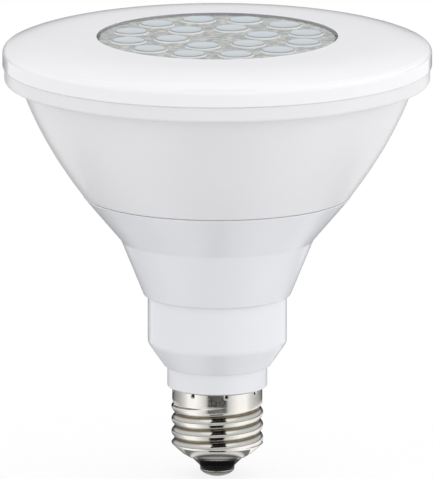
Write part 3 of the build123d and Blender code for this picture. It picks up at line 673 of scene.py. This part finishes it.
def thread_tree(sizes, finish):
    """Tree that rolls the thread and the punch marks into the outside of a plain shell."""
    tree = node_tree("rolled_thread", sizes)
    given = add(tree, "NodeGroupInput").node.outputs
    spot = add(tree, "GeometryNodeInputPosition")
    x, y, z = add(tree, "ShaderNodeSeparateXYZ", {0: spot}).node.outputs
    flat = add(tree, "ShaderNodeCombineXYZ", {0: x, 1: y})
    radius = add(tree, "ShaderNodeVectorMath", {0: flat}, out="Value", operation="LENGTH")
    normal = add(tree, "GeometryNodeInputNormal")
    facing = add(tree, "ShaderNodeVectorMath", {0: normal, 1: flat}, out="Value", operation="DOT_PRODUCT")
    known = {label: given[label] for label in sizes}
    known.update(x=x, y=y, z=z, radius=radius, facing=facing)
    full_turn = 2 * math.pi
    sink_blend, cone_blend = 0.08 * MM, 0.35 * MM
    # Each step: its name, what it does, and the steps, sizes or numbers that it takes
    steps = (
        ("angle", "ARCTAN2", "y", "x"),
        # Ridge: how far a point is from the nearest crest, in turns, makes a rounded wave
        ("above", "SUBTRACT", "z", "Crest"),
        ("rise", "DIVIDE", "above", "Pitch"),
        ("turn", "DIVIDE", "angle", full_turn),
        ("phase", "SUBTRACT", "rise", "turn"),
        ("off", "WRAP", "phase", 0.5, -0.5),
        ("round", "MULTIPLY", "off", full_turn),
        ("wave", "COSINE", "round"),
        ("share", "MULTIPLY_ADD", "wave", 0.5, 0.5),
        ("ridge", "POWER", "share", "Fullness"),
        ("root", "SUBTRACT", "Crest Radius", "Depth"),
        ("wound", "MULTIPLY_ADD", "ridge", "Depth", "root"),
        # Run-out: near the top each crest is cut down to the band, and a little higher the groove fills up
        ("drop", "MULTIPLY", "off", "Pitch"),
        ("own_crest", "SUBTRACT", "z", "drop"),
        ("limit", "SMOOTHSTEP", "own_crest", "Sink Start", "Sink End", "Crest Radius", "Band"),
        ("threaded", "SMOOTH_MIN", "wound", "limit", sink_blend),
        ("filled", "SMOOTHSTEP", "z", "Fill Start", "Fill End", "threaded", "Band"),
        # Lead-in: the last groove fills up, and a cone cuts the thread off at the lower end
        ("led", "SMOOTHSTEP", "z", "Lead End", "Lead Start", "Crest Radius", "filled"),
        ("cone", "LINEAR", "z", "Cone Bottom", "Cone Top", "Cone Radius", "Crest Radius"),
        ("body", "SMOOTH_MIN", "led", "cone", cone_blend),
        # Punch marks: round dents with a flat bottom, evenly spaced under the collar
        ("from_first", "SUBTRACT", "angle", "First Stake"),
        ("half", "DIVIDE", math.pi, "Stakes"),
        ("under", "MULTIPLY", "half", -1.0),
        ("near", "WRAP", "from_first", "half", "under"),
        ("aside", "MULTIPLY", "near", "Band"),
        ("upward", "SUBTRACT", "z", "Stake Height"),
        ("across", "DIVIDE", "aside", "Stake Size"),
        ("along", "DIVIDE", "upward", "Stake Size"),
        ("across_squared", "MULTIPLY", "across", "across"),
        ("spread", "MULTIPLY_ADD", "along", "along", "across_squared"),
        ("spread_squared", "MULTIPLY", "spread", "spread"),
        ("fall", "MULTIPLY", "spread_squared", -0.5),
        ("dent", "EXPONENT", "fall"),
        ("sunk", "MULTIPLY", "dent", "Stake Depth"),
        ("final", "SUBTRACT", "body", "sunk"),
        ("scale", "DIVIDE", "final", "radius"),
        # Only the outside above the rolled mouth moves
        ("outside", "GREATER_THAN", "facing", 1.0 * MM),
        ("higher", "GREATER_THAN", "z", "Roll Top"),
        ("chosen", "MULTIPLY", "outside", "higher"),
    )
    for name, does, *terms in steps:
        inputs = {k: known.get(term, term) for k, term in enumerate(terms)}
        if does in ("SMOOTHSTEP", "LINEAR"):
            how = {"interpolation_type": does, "clamp": does != "LINEAR"}
            known[name] = add(tree, "ShaderNodeMapRange", inputs, **how)
        else:
            known[name] = add(tree, "ShaderNodeMath", inputs, operation=does)
    stretch = add(tree, "ShaderNodeCombineXYZ", {0: known["scale"], 1: known["scale"], 2: 1.0})
    target = add(tree, "ShaderNodeVectorMath", {0: spot, 1: stretch}, operation="MULTIPLY")
    move = {"Geometry": given["Geometry"], "Selection": known["chosen"], "Position": target}
    rolled = add(tree, "GeometryNodeSetPosition", move)
    real = add(tree, "GeometryNodeRealizeInstances", {0: rolled})
    dressed = add(tree, "GeometryNodeSetMaterial", {"Geometry": real, "Material": finish})
    add(tree, "NodeGroupOutput", {0: dressed})
    return tree


class BULB_OT_screw_shell(bpy.types.Operator):
    """Rolls the screw shell with its thread and punch marks"""

    bl_idname = "bulb.screw_shell"
    bl_label = "Screw Shell"

    def execute(self, context):
        screw = context.scene.bulb_screw
        finish = rolled_nickel(context.scene.bulb_colours, screw)
        foot = Z_SHELL_BOTTOM + screw.cone_foot
        cone_top = foot + (CREST_R - screw.cone) / screw.cone_slope
        row = 0.15 * MM
        rows = int((Z_COLLAR - foot) / row)
        outside_top = Z_COLLAR - 0.55 * MM
        outside = []
        for k in range(rows + 1):
            z = foot + (outside_top - foot) * k / rows
            outside.append((min(screw.cone + screw.cone_slope * (z - foot), screw.band), z))
        # The mouth is rolled in over the glass, so the cone rounds off to a blunt edge
        lip = Z_SHELL_BOTTOM + 0.55 * MM
        bend = ((0, 0.25), (0.1, 0.05), (0.35, 0), (0.7, 0.08), (1.15, 0.34), (1.6, 0.66))
        curl = [(screw.mouth + out * MM, lip + up * MM) for out, up in bend]
        top = Z_COLLAR - 0.42 * MM
        socket = screw.band - 0.45 * MM
        step = Z_CUP_BOTTOM - SLIP
        inside = [
            (screw.band - 0.2 * MM, top),
            *stairs(socket, top, step, screw.bore, foot + 1.9 * MM),
            (screw.cone - 0.5 * MM, foot + 0.35 * MM),
        ]
        plain = turned("screw_shell_plain", curl + outside + inside, SHELL_ROUND)
        sizes = {
            "Pitch": screw.pitch,
            "Depth": screw.depth,
            "Crest": screw.crest,
            "Crest Radius": CREST_R,
            "Fullness": 0.7,
            "Band": screw.band,
            "Sink Start": screw.crest + 1.8 * MM,
            "Sink End": screw.crest + 2.7 * MM,
            "Fill Start": screw.crest + 1.9 * MM,
            "Fill End": screw.crest + 4.0 * MM,
            "Lead Start": screw.crest - screw.thread_end + 0.9 * MM,
            "Lead End": screw.crest - screw.thread_end,
            "Cone Radius": screw.cone,
            "Cone Bottom": foot,
            "Cone Top": cone_top,
            "Roll Top": foot - row / 2,
            "Stakes": screw.stakes,
            "First Stake": screw.first_stake,
            "Stake Height": Z_COLLAR - screw.stake_drop,
            "Stake Size": screw.stake_size,
            "Stake Depth": screw.stake_depth,
        }
        mesh = grown("threaded_shell", plain, thread_tree(sizes, finish), sizes)
        fix("threaded_shell", mesh, "screw_shell")
        return {"FINISHED"}


class BULB_OT_base_end(bpy.types.Operator):
    """Turns the black glass and the contact button"""

    bl_idname = "bulb.base_end"
    bl_label = "Base End"

    def execute(self, context):
        # Pressed black glass: deep black with a wet gloss and a slightly wavy skin about 1.5 mm across
        dull = {"ior": 1.52, "specular_ior_level": 0.25}
        glass = speckled("black_glass_pressed", linear("#0C0C0C"), 0.8, 0.1, 0.03, 1.5, 0.01, **dull)
        rivet = 1.55 * MM
        waist = Z_GLASS_BOTTOM + 0.85 * MM
        mouth = context.scene.bulb_screw.mouth - SLIP
        corners = [
            (rivet, Z_GLASS_BOTTOM),
            (CONTACT_R, Z_GLASS_BOTTOM, 0.15 * MM),
            (CONTACT_R + SLIP, waist, 0.5 * MM),
            (mouth - 0.2 * MM, Z_SHELL_BOTTOM + 0.2 * MM, 0.2 * MM),
            *stairs(mouth, Z_SHELL_BOTTOM + 0.6 * MM, Z_GLASS_TOP, rivet),
        ]
        turned_piece("glass_bead", corners, glass, "base_insulator", SMALL_ROUND)

        # Tinned brass, pressed and dipped: soft silver that is duller than the shell, with shallow ripples
        tin = speckled("tinned_brass_dipped", linear("#CFCCC6"), 0.85, 0.24, 0.08, 0.8, 0.02, metallic=1.0)
        head = 3.5 * MM
        stem = 1.5 * MM
        corners = [
            (0, 0),
            (2.0 * MM, 0, 0.8 * MM),
            (3.9 * MM, 0.75 * MM, 1.5 * MM),
            (CONTACT_R, Z_GLASS_BOTTOM - 0.45 * MM, 0.3 * MM),
            (CONTACT_R, Z_GLASS_BOTTOM, 0.1 * MM),
            *stairs(stem, Z_GLASS_BOTTOM, Z_GLASS_TOP, head),
            (head, Z_RIVET_TOP, 0.2 * MM),
            (0, Z_RIVET_TOP),
        ]
        turned_piece("contact_button", corners, tin, "centre_contact", SMALL_ROUND)
        return {"FINISHED"}


def lens_tree(sizes, finish):
    """Tree that sets lenses on two rings of the plate and legs under it, all one clear piece."""
    tree = node_tree("lens_rings", sizes)
    given = add(tree, "NodeGroupInput").node.outputs
    spin = add(tree, "ShaderNodeCombineXYZ", {2: given["Angle"]})
    leg_spin = add(tree, "ShaderNodeCombineXYZ", {2: given["Leg Angle"]})
    rings = []
    for ring, number, turn in (
        ("Inner Ring", "Inner Count", spin),
        ("Outer Ring", "Outer Count", spin),
        ("Leg Circle", "Legs", leg_spin),
    ):
        circle = add(tree, "GeometryNodeMeshCircle", {"Vertices": given[number], "Radius": given[ring]})
        rings.append(add(tree, "GeometryNodeTransform", {"Geometry": circle, "Rotation": turn}))
    centres = add(tree, "GeometryNodeJoinGeometry", {0: rings[:2]})
    stamped = []
    for label, points in (("Hole", centres), ("Lens", centres), ("Leg", rings[2])):
        shape = add(tree, "GeometryNodeObjectInfo", {"Object": given[label]}, out="Geometry")
        stamped.append(add(tree, "GeometryNodeInstanceOnPoints", {"Points": points, "Instance": shape}))
    holes, lenses, legs = stamped
    exact = {"solver": "EXACT"}
    cut = {0: given["Geometry"], 1: holes}
    drilled = add(tree, "GeometryNodeMeshBoolean", cut, operation="DIFFERENCE", **exact)
    joined = add(tree, "GeometryNodeMeshBoolean", {1: [drilled, lenses, legs]}, operation="UNION", **exact)
    # How far each point is from the nearest lens axis, for the finish
    spot = add(tree, "GeometryNodeInputPosition")
    flat = add(tree, "ShaderNodeVectorMath", {0: spot, 1: (1, 1, 0)}, operation="MULTIPLY")
    ends = {0: centres, "Source Position": flat}
    away = add(tree, "GeometryNodeProximity", ends, out="Distance", target_element="POINTS")
    note = {"Geometry": joined, "Name": "lens_distance", "Value": away}
    marked = add(tree, "GeometryNodeStoreNamedAttribute", note)
    real = add(tree, "GeometryNodeRealizeInstances", {0: marked})
    dressed = add(tree, "GeometryNodeSetMaterial", {"Geometry": real, "Material": finish})
    add(tree, "NodeGroupOutput", {0: dressed})
    return tree


class BULB_OT_lens_plate(bpy.types.Operator):
    """Moulds the clear plate with its lenses"""

    bl_idname = "bulb.lens_plate"
    bl_label = "Lens Plate"

    def execute(self, context):
        lens = context.scene.bulb_lens
        finish = moulded_acrylic(context.scene.bulb_colours, lens)
        seat = Z_LENS_FACE - lens.disc_height
        back = seat - lens.flange_height
        tip = Z_EMITTER_TOP + lens.gap
        web = Z_LENS_FACE
        top = web + lens.rise
        plate_corners = [
            (0, back),
            (LENS_FLANGE_R, back, 0.2 * MM),
            (LENS_FLANGE_R, seat, 0.2 * MM),
            (lens.disc, seat),
            (lens.disc, web, 0.25 * MM),
            (0, web),
        ]
        plate = turned("lens_plate_plain", rounded(plate_corners))

        # One lens: dished front on a short wall, cone down to the emitter, and a cup over it
        shares = [k / 8 for k in range(9)]
        dish = [(lens.face * share, top - lens.dish * (1 - share * share)) for share in shares]
        cup = lens.tip - 0.9 * MM
        rest = [
            (lens.face + 0.1 * MM, top),
            (lens.face + 0.15 * MM, top - 0.05 * MM),
            (lens.edge, web - 0.05 * MM),
            (lens.edge, back + 0.4 * MM),
            (lens.radius, back + 0.2 * MM),
            (lens.radius * 0.95, back - 1.2 * MM),
            (lens.radius * 0.82, back - 3.2 * MM),
            (lens.radius * 0.66, back - 5.2 * MM),
            (lens.tip, tip),
            (cup, tip),
            (cup * 0.92, tip + 1.6 * MM),
            (cup * 0.6, tip + 2.2 * MM),
            (0, tip + 2.4 * MM),
        ]
        hole_back = back - 1 * MM
        hole = [(0, hole_back), *stairs(lens.edge - 0.4 * MM, hole_back, top + 1 * MM, 0)]
        leg = [(0, Z_LED_FACE), *stairs(lens.leg, Z_LED_FACE, back + 0.5 * MM, 0)]
        shapes = {
            "Lens": turned("lens_single", dish + rest, LENS_ROUND),
            "Hole": turned("lens_hole", hole, LENS_ROUND),
            "Leg": turned("lens_leg", leg, LENS_ROUND // 2),
        }
        helpers = {label: show("lens_" + label.lower(), mesh) for label, mesh in shapes.items()}
        sizes = {
            "Inner Ring": lens.inner_ring,
            "Outer Ring": lens.outer_ring,
            "Inner Count": lens.inner_count,
            "Outer Count": lens.outer_count,
            "Angle": lens.start,
            "Leg Circle": lens.leg_circle,
            "Legs": lens.legs,
            "Leg Angle": lens.start + 3 * math.pi / lens.inner_count,
            **helpers,
        }
        mesh = grown("lens_plate", plate, lens_tree(sizes, finish), sizes)
        for helper in helpers.values():
            bpy.data.objects.remove(helper)
        fix("lens_plate", mesh, "lens_array")
        return {"FINISHED"}


class BULB_OT_inside(bpy.types.Operator):
    """Gives the light engine and the driver their finishes"""

    bl_idname = "bulb.inside"
    bl_label = "Inside Parts"

    def execute(self, context):
        black_mouldings = "transformer_bobbin bridge_rectifier power_transistor control_chip"
        ferrites = "transformer_core choke_coil"
        taped = "transformer_winding film_capacitor"
        sleeved = "input_capacitor output_capacitor"
        black_leads = "negative_lead live_lead"
        # Each row: nodes, material, colour, darkest share, roughness and its spread, grain and relief in mm
        finishes = [
            # Silicone: dull grey with a dusty bloom
            ("front_gasket", "silicone_moulded", "#C2C2C4", 0.9, 0.7, 0.08, 0.8, 0.02, {"ior": 1.41}),
            # Rolled aluminium: satin sheet
            ("heat_spreader", "aluminium_rolled", "#D9D9DB", 0.9, 0.35, 0.08, 0.6, 0.006, {"metallic": 1.0}),
            # White solder mask: ink with a soft gloss over copper
            ("led_board", "solder_mask_white", "#E8E9E6", 0.97, 0.35, 0.06, 0.8, 0.008, {"ior": 1.5}),
            # Silicone loaded with phosphor: strong yellow, grainy
            ("led_emitters", "phosphor_silicone", "#E9C53A", 0.9, 0.45, 0.08, 0.2, 0.02, {"ior": 1.42}),
            # Zinc plate: bright bluish steel
            ("board_screws", "zinc_plate_steel", "#C9CDD2", 0.88, 0.28, 0.08, 0.3, 0.006, {"metallic": 1.0}),
            # Glass-epoxy laminate under green mask, its weave about 0.6 mm
            ("driver_board", "epoxy_laminate_green", "#2E6B3C", 0.85, 0.35, 0.08, 0.6, 0.015, {"ior": 1.55}),
            # Sintered ferrite: dark grey and granular
            (ferrites, "ferrite_sintered", "#454548", 0.8, 0.6, 0.1, 0.3, 0.02, {"ior": 1.8}),
            # Phenolic moulding: matt black
            (black_mouldings, "phenolic_moulded_black", "#252525", 0.8, 0.5, 0.08, 0.3, 0.01, {"ior": 1.6}),
            # Polyester tape: yellow film, slightly wrinkled
            (taped, "polyester_tape_yellow", "#E6C454", 0.92, 0.3, 0.08, 1.0, 0.04, {"ior": 1.57}),
            # Shrunk sleeve: black film drawn tight
            (sleeved, "pvc_sleeve_shrunk", "#26262A", 0.85, 0.28, 0.06, 1.0, 0.02, {"ior": 1.53}),
            # Enamel: blue paint dipped on ceramic
            ("fuse_resistor", "enamel_dipped_blue", "#5A88B8", 0.9, 0.3, 0.06, 0.5, 0.03, {"ior": 1.5}),
            # Drawn insulation on the leads: soft satin
            ("positive_lead", "pvc_drawn_red", "#C8302E", 0.9, 0.45, 0.06, 0.4, 0.01, {"ior": 1.53}),
            (black_leads, "pvc_drawn_black", "#262626", 0.85, 0.45, 0.06, 0.4, 0.01, {"ior": 1.53}),
            ("neutral_lead", "pvc_drawn_white", "#E8E8E6", 0.95, 0.45, 0.06, 0.4, 0.01, {"ior": 1.53}),
        ]
        for nodes, name, code, *rest, constants in finishes:
            material = speckled(name, linear(code), *rest, **constants)
            for node in nodes.split():
                for slot in frame["nodes"][node].material_slots:
                    slot.material = material
        return {"FINISHED"}


# Stage


def plain_material(name):
    """New material, its tree with the old nodes taken out, and the place on the prop."""
    material = bpy.data.materials.new(name)
    material.use_nodes = True
    tree = material.node_tree
    tree.nodes.clear()
    return material, tree, add(tree, "ShaderNodeTexCoord", out="Object")


def seen_rays(tree):
    """One for rays that show the background: camera, glossy and transmission rays."""
    rays = add(tree, "ShaderNodeLightPath").node.outputs
    seen = rays["Is Camera Ray"]
    for kind in ("Is Glossy Ray", "Is Transmission Ray"):
        seen = add(tree, "ShaderNodeMath", {0: seen, 1: rays[kind]}, operation="MAXIMUM")
    return seen


def prop(name, spots, faces, material):
    """Thin stage prop from its points in metres."""
    mesh = bpy.data.meshes.new(name)
    mesh.from_pydata(spots, [], faces)
    mesh.materials.append(material)
    thing = show(name, mesh)
    return thing


def only_glossy(thing):
    """The prop is seen in reflections and nowhere else."""
    thing.visible_camera = False
    thing.visible_diffuse = False
    thing.visible_transmission = False
    thing.visible_shadow = False


def band(name, rings, material):
    """Band about Z between two (radius, height) rings that only reflections see."""
    turns = [2 * math.pi * k / STAGE_ROUND for k in range(STAGE_ROUND)]
    spots = [(r * math.cos(a), r * math.sin(a), z) for r, z in rings for a in turns]
    nexts = [(k + 1) % STAGE_ROUND for k in range(STAGE_ROUND)]
    faces = [(k, STAGE_ROUND + k, STAGE_ROUND + n, n) for k, n in enumerate(nexts)]
    only_glossy(prop(name, spots, faces, material))


def graded_card(name, stops):
    """Card whose glow follows the angle from the front, from (degrees, share of the brightest) stops."""
    material, tree, place = plain_material(name)
    x, y, _ = add(tree, "ShaderNodeSeparateXYZ", {0: place}).node.outputs
    toward = add(tree, "ShaderNodeMath", {0: y, 1: -1.0}, operation="MULTIPLY")
    around = add(tree, "ShaderNodeMath", {0: x, 1: toward}, operation="ARCTAN2")
    share = add(tree, "ShaderNodeMapRange", {0: around, 1: -math.pi, 2: math.pi})
    shares = [(0.5 + degrees / 360, [level] * 3) for degrees, level in stops]
    grey = add(tree, "ShaderNodeValToRGB", {"Fac": share}, stops=shares)
    brightest = 1.25
    add(tree, "ShaderNodeOutputMaterial", {0: add(tree, "ShaderNodeEmission", {0: grey, 1: brightest})})
    return material


def ringed_card(name, reach, stops):
    """Card whose glow follows the distance from the axis, from (millimetres, level) stops."""
    material, tree, place = plain_material(name)
    far = add(tree, "ShaderNodeVectorMath", {0: place}, out="Value", operation="LENGTH")
    share = add(tree, "ShaderNodeMapRange", {0: far, 2: reach})
    shares = [(radius * MM / reach, [level] * 3) for radius, level in stops]
    grey = add(tree, "ShaderNodeValToRGB", {"Fac": share}, stops=shares)
    add(tree, "ShaderNodeOutputMaterial", {0: add(tree, "ShaderNodeEmission", {0: grey})})
    return material


class BULB_OT_stage(bpy.types.Operator):
    """Sets the floor, the soft light, the reflection cards and the camera"""

    bl_idname = "bulb.stage"
    bl_label = "Stage"

    def execute(self, context):
        look = context.scene.bulb_stage
        self.soft_light(context, look)
        self.softbox(context, look)
        self.floor()
        self.wall()
        self.mats()
        self.flags()
        self.camera(context, look)
        context.scene.view_settings.view_transform = "Standard"
        return {"FINISHED"}

    def soft_light(self, context, look):
        """World that is even all round, a little darker overhead, and white where it is seen."""
        world = bpy.data.worlds.new("soft_studio")
        context.scene.world = world
        world.use_nodes = True
        tree = world.node_tree
        tree.nodes.clear()
        way = add(tree, "ShaderNodeTexCoord", out="Generated")
        darker_up = (0.0, 0.0, -0.42)
        lean = add(tree, "ShaderNodeVectorMath", {0: way, 1: darker_up}, out="Value", operation="DOT_PRODUCT")
        level = add(tree, "ShaderNodeMath", {0: lean, 1: look.light}, operation="ADD")
        light = add(tree, "ShaderNodeBackground", {"Color": WHITE, "Strength": level})
        white = add(tree, "ShaderNodeBackground", {"Color": WHITE, "Strength": 1.0})
        mix = add(tree, "ShaderNodeMixShader", {0: seen_rays(tree), 1: light, 2: white})
        add(tree, "ShaderNodeOutputWorld", {0: mix})

    def softbox(self, context, look):
        """Softbox on the right, a little to the front, turned to the bulb's middle."""
        light = bpy.data.lights.new("softbox", "AREA")
        light.shape = "RECTANGLE"
        light.size = 0.5
        light.size_y = 0.7
        light.energy = look.softbox
        lamp = bpy.data.objects.new("softbox", light)
        context.scene.collection.objects.link(lamp)
        turn = math.radians(80)
        distance, height, middle = 1.2, 0.36, 0.07
        lamp.location = (distance * math.sin(turn), -distance * math.cos(turn), height)
        lamp.rotation_euler = (Vector((0, 0, middle)) - lamp.location).to_track_quat("-Z", "Y").to_euler()
        lamp.visible_camera = False

    def floor(self):
        """Plain pale floor: grey to the light, white where it is seen, with the bulb's shadow kept."""
        material, tree, place = plain_material("paper_matt_white")
        pulp = add(tree, "ShaderNodeTexNoise", {"Vector": place, "Scale": 1 / (4 * MM), "Detail": 2})
        grey = add(tree, "ShaderNodeMapRange", {0: pulp, 3: 0.71, 4: 0.73})
        matt = add(tree, "ShaderNodeBsdfDiffuse", {"Color": grey})
        glow = add(tree, "ShaderNodeEmission", {"Color": WHITE, "Strength": 0.8})
        shaded = add(tree, "ShaderNodeBsdfDiffuse", {"Color": (0.2, 0.2, 0.2, 1)})
        white = add(tree, "ShaderNodeAddShader", {0: glow, 1: shaded})
        mix = add(tree, "ShaderNodeMixShader", {0: seen_rays(tree), 1: matt, 2: white})
        add(tree, "ShaderNodeOutputMaterial", {0: mix})
        reach = 8.0
        corners = [(-reach, -reach, 0), (reach, -reach, 0), (reach, reach, 0), (-reach, reach, 0)]
        prop("floor", corners, [range(4)], material)

    def wall(self):
        """Far wall that only reflections see, dark at its foot and paler upward."""
        material, tree, place = plain_material("grey_wall_card")
        height = add(tree, "ShaderNodeSeparateXYZ", {0: place}, out=2)
        distance, dark_top, pale_foot, top = 1.0, 0.1, 0.24, 1.3
        foot = add(tree, "ShaderNodeMapRange", {0: height, 1: dark_top, 2: pale_foot, 3: 0.12, 4: 0.55})
        rise = add(tree, "ShaderNodeMapRange", {0: height, 1: pale_foot, 2: top, 3: 0.0, 4: 0.2})
        grade = add(tree, "ShaderNodeMath", {0: foot, 1: rise}, operation="ADD")
        add(tree, "ShaderNodeOutputMaterial", {0: add(tree, "ShaderNodeEmission", {1: grade})})
        band("grey_wall", ((distance, 0), (distance, top)), material)

    def mats(self):
        """Mats on the floor that only reflections see: dark behind, bright at the sides, dark in front."""
        left = (
            (-154, 0.09), (-140, 0.16), (-118, 0.32), (-105, 0.42),
            (-88, 0.62), (-76, 0.9), (-53, 0.92), (-38, 0.74),
        )
        right = (
            (38, 0.74), (53, 0.92), (76, 0.92), (88, 0.66),
            (105, 0.46), (118, 0.38), (140, 0.2), (154, 0.13),
        )
        strip = ((-28, 0.54), (-24, 0.3), (-21, 0.02), (21, 0.02), (24, 0.3), (28, 0.54))
        bright = (*right[:3], (88, 0.85), (105, 0.85), (118, 0.8), (140, 0.5), (154, 0.2))
        soft = ((-19, 0.5), (19, 0.5))
        black = ((-19, 0.54), (-15, 0.01), (15, 0.01), (19, 0.54))
        pale_left = ((-154, 0.5), (-118, 0.5), *left[3:])
        pale_right = (*right[:-4], (105, 0.75), (118, 0.88), (154, 0.92))
        # Under the shell: rings that the cone, the rolled mouth and the contact reflect
        rings = (
            (4.2, 0.4), (5.2, 0.06), (6.9, 0.06), (7.8, 0.42), (8.3, 0.42), (8.7, 0.08),
            (9.2, 0.08), (9.65, 0.8), (10.3, 0.8), (11, 0.2), (13, 0.2),
        )
        # From far to near, the edges of the mats in millimetres
        edges = (148, 102, 62, 40, 13.5, 0)
        cards = {
            "mat_far": graded_card("card_band", (*left, *strip, *right)),
            "mat_taper": graded_card("card_taper", (*pale_left, *soft, *pale_right)),
            "mat_middle": graded_card("card_thread", (*left, *soft, *bright)),
            "mat_near": graded_card("card_foot", (*left, *black, *bright)),
            "mat_centre": ringed_card("dark_felt", edges[-2] * MM, rings),
        }
        lift = 0.2 * MM
        for (name, card), outer, inner in zip(cards.items(), edges, edges[1:]):
            band(name, ((inner * MM, lift), (outer * MM, lift)), card)

    def flags(self):
        """Two flags of black felt that only reflections see."""
        material, tree, place = plain_material("black_felt")
        nap = add(tree, "ShaderNodeTexNoise", {"Vector": place, "Scale": 1 / (2 * MM)})
        dark = add(tree, "ShaderNodeMapRange", {0: nap, 3: 0.004, 4: 0.012})
        add(tree, "ShaderNodeOutputMaterial", {0: add(tree, "ShaderNodeEmission", {1: dark})})
        flags = {
            # Above the camera: the dark lines over each crest
            "flag_high": [(-220, -500, 435), (220, -500, 435), (130, -240, 640), (-130, -240, 640)],
            # Behind the bulb: the fine dark line round its outline
            "flag_back": [(-55, 60, 0.2), (45, 60, 0.2), (460, 1000, 0.2), (-600, 1000, 0.2)],
        }
        for name, corners in flags.items():
            only_glossy(prop(name, [Vector(corner) * MM for corner in corners], [range(4)], material))

    def camera(self, context, look):
        """Long lens at the height that the picture was taken from."""
        data = bpy.data.cameras.new("camera")
        data.lens = data.sensor_width * look.distance / look.frame
        data.clip_end = 3 * look.distance
        camera = bpy.data.objects.new("camera", data)
        context.scene.collection.objects.link(camera)
        back = Vector((0, -math.cos(look.elevation), math.sin(look.elevation)))
        camera.location = Vector((-look.aside, 0, look.aim)) + back * look.distance
        camera.rotation_euler = (math.pi / 2 - look.elevation, 0, 0)
        context.scene.camera = camera


class BULB_PT_panel(bpy.types.Panel):
    """Lists the bulb's pieces and sizes"""

    bl_idname = "BULB_PT_panel"
    bl_label = "Reflector Bulb"
    bl_space_type = "VIEW_3D"
    bl_region_type = "UI"
    bl_category = "Bulb"

    def draw(self, context):
        for operator in OPERATORS:
            self.layout.operator(operator.bl_idname)
        for name in GROUPS:
            box = self.layout.box()
            settings = getattr(context.scene, name)
            for key in settings.__annotations__:
                box.prop(settings, key)


GROUPS = {
    "bulb_shape": BulbShape,
    "bulb_screw": ScrewShape,
    "bulb_lens": LensShape,
    "bulb_colours": BulbColours,
    "bulb_stage": StageLook,
}
OPERATORS = (
    BULB_OT_front_bezel,
    BULB_OT_housings,
    BULB_OT_driver_cup,
    BULB_OT_screw_shell,
    BULB_OT_base_end,
    BULB_OT_lens_plate,
    BULB_OT_inside,
    BULB_OT_stage,
)


def register():
    for group in (*GROUPS.values(), *OPERATORS, BULB_PT_panel):
        bpy.utils.register_class(group)
    for name, group in GROUPS.items():
        setattr(bpy.types.Scene, name, bpy.props.PointerProperty(type=group))


def unregister():
    for name in GROUPS:
        delattr(bpy.types.Scene, name)
    for group in (BULB_PT_panel, *OPERATORS, *GROUPS.values()):
        bpy.utils.unregister_class(group)


def main():
    register()
    bpy.ops.bulb.front_bezel()
    bpy.ops.bulb.housings()
    bpy.ops.bulb.driver_cup()
    bpy.ops.bulb.screw_shell()
    bpy.ops.bulb.base_end()
    bpy.ops.bulb.lens_plate()
    bpy.ops.bulb.inside()
    bpy.ops.bulb.stage()


if __name__ == "__main__":
    main()
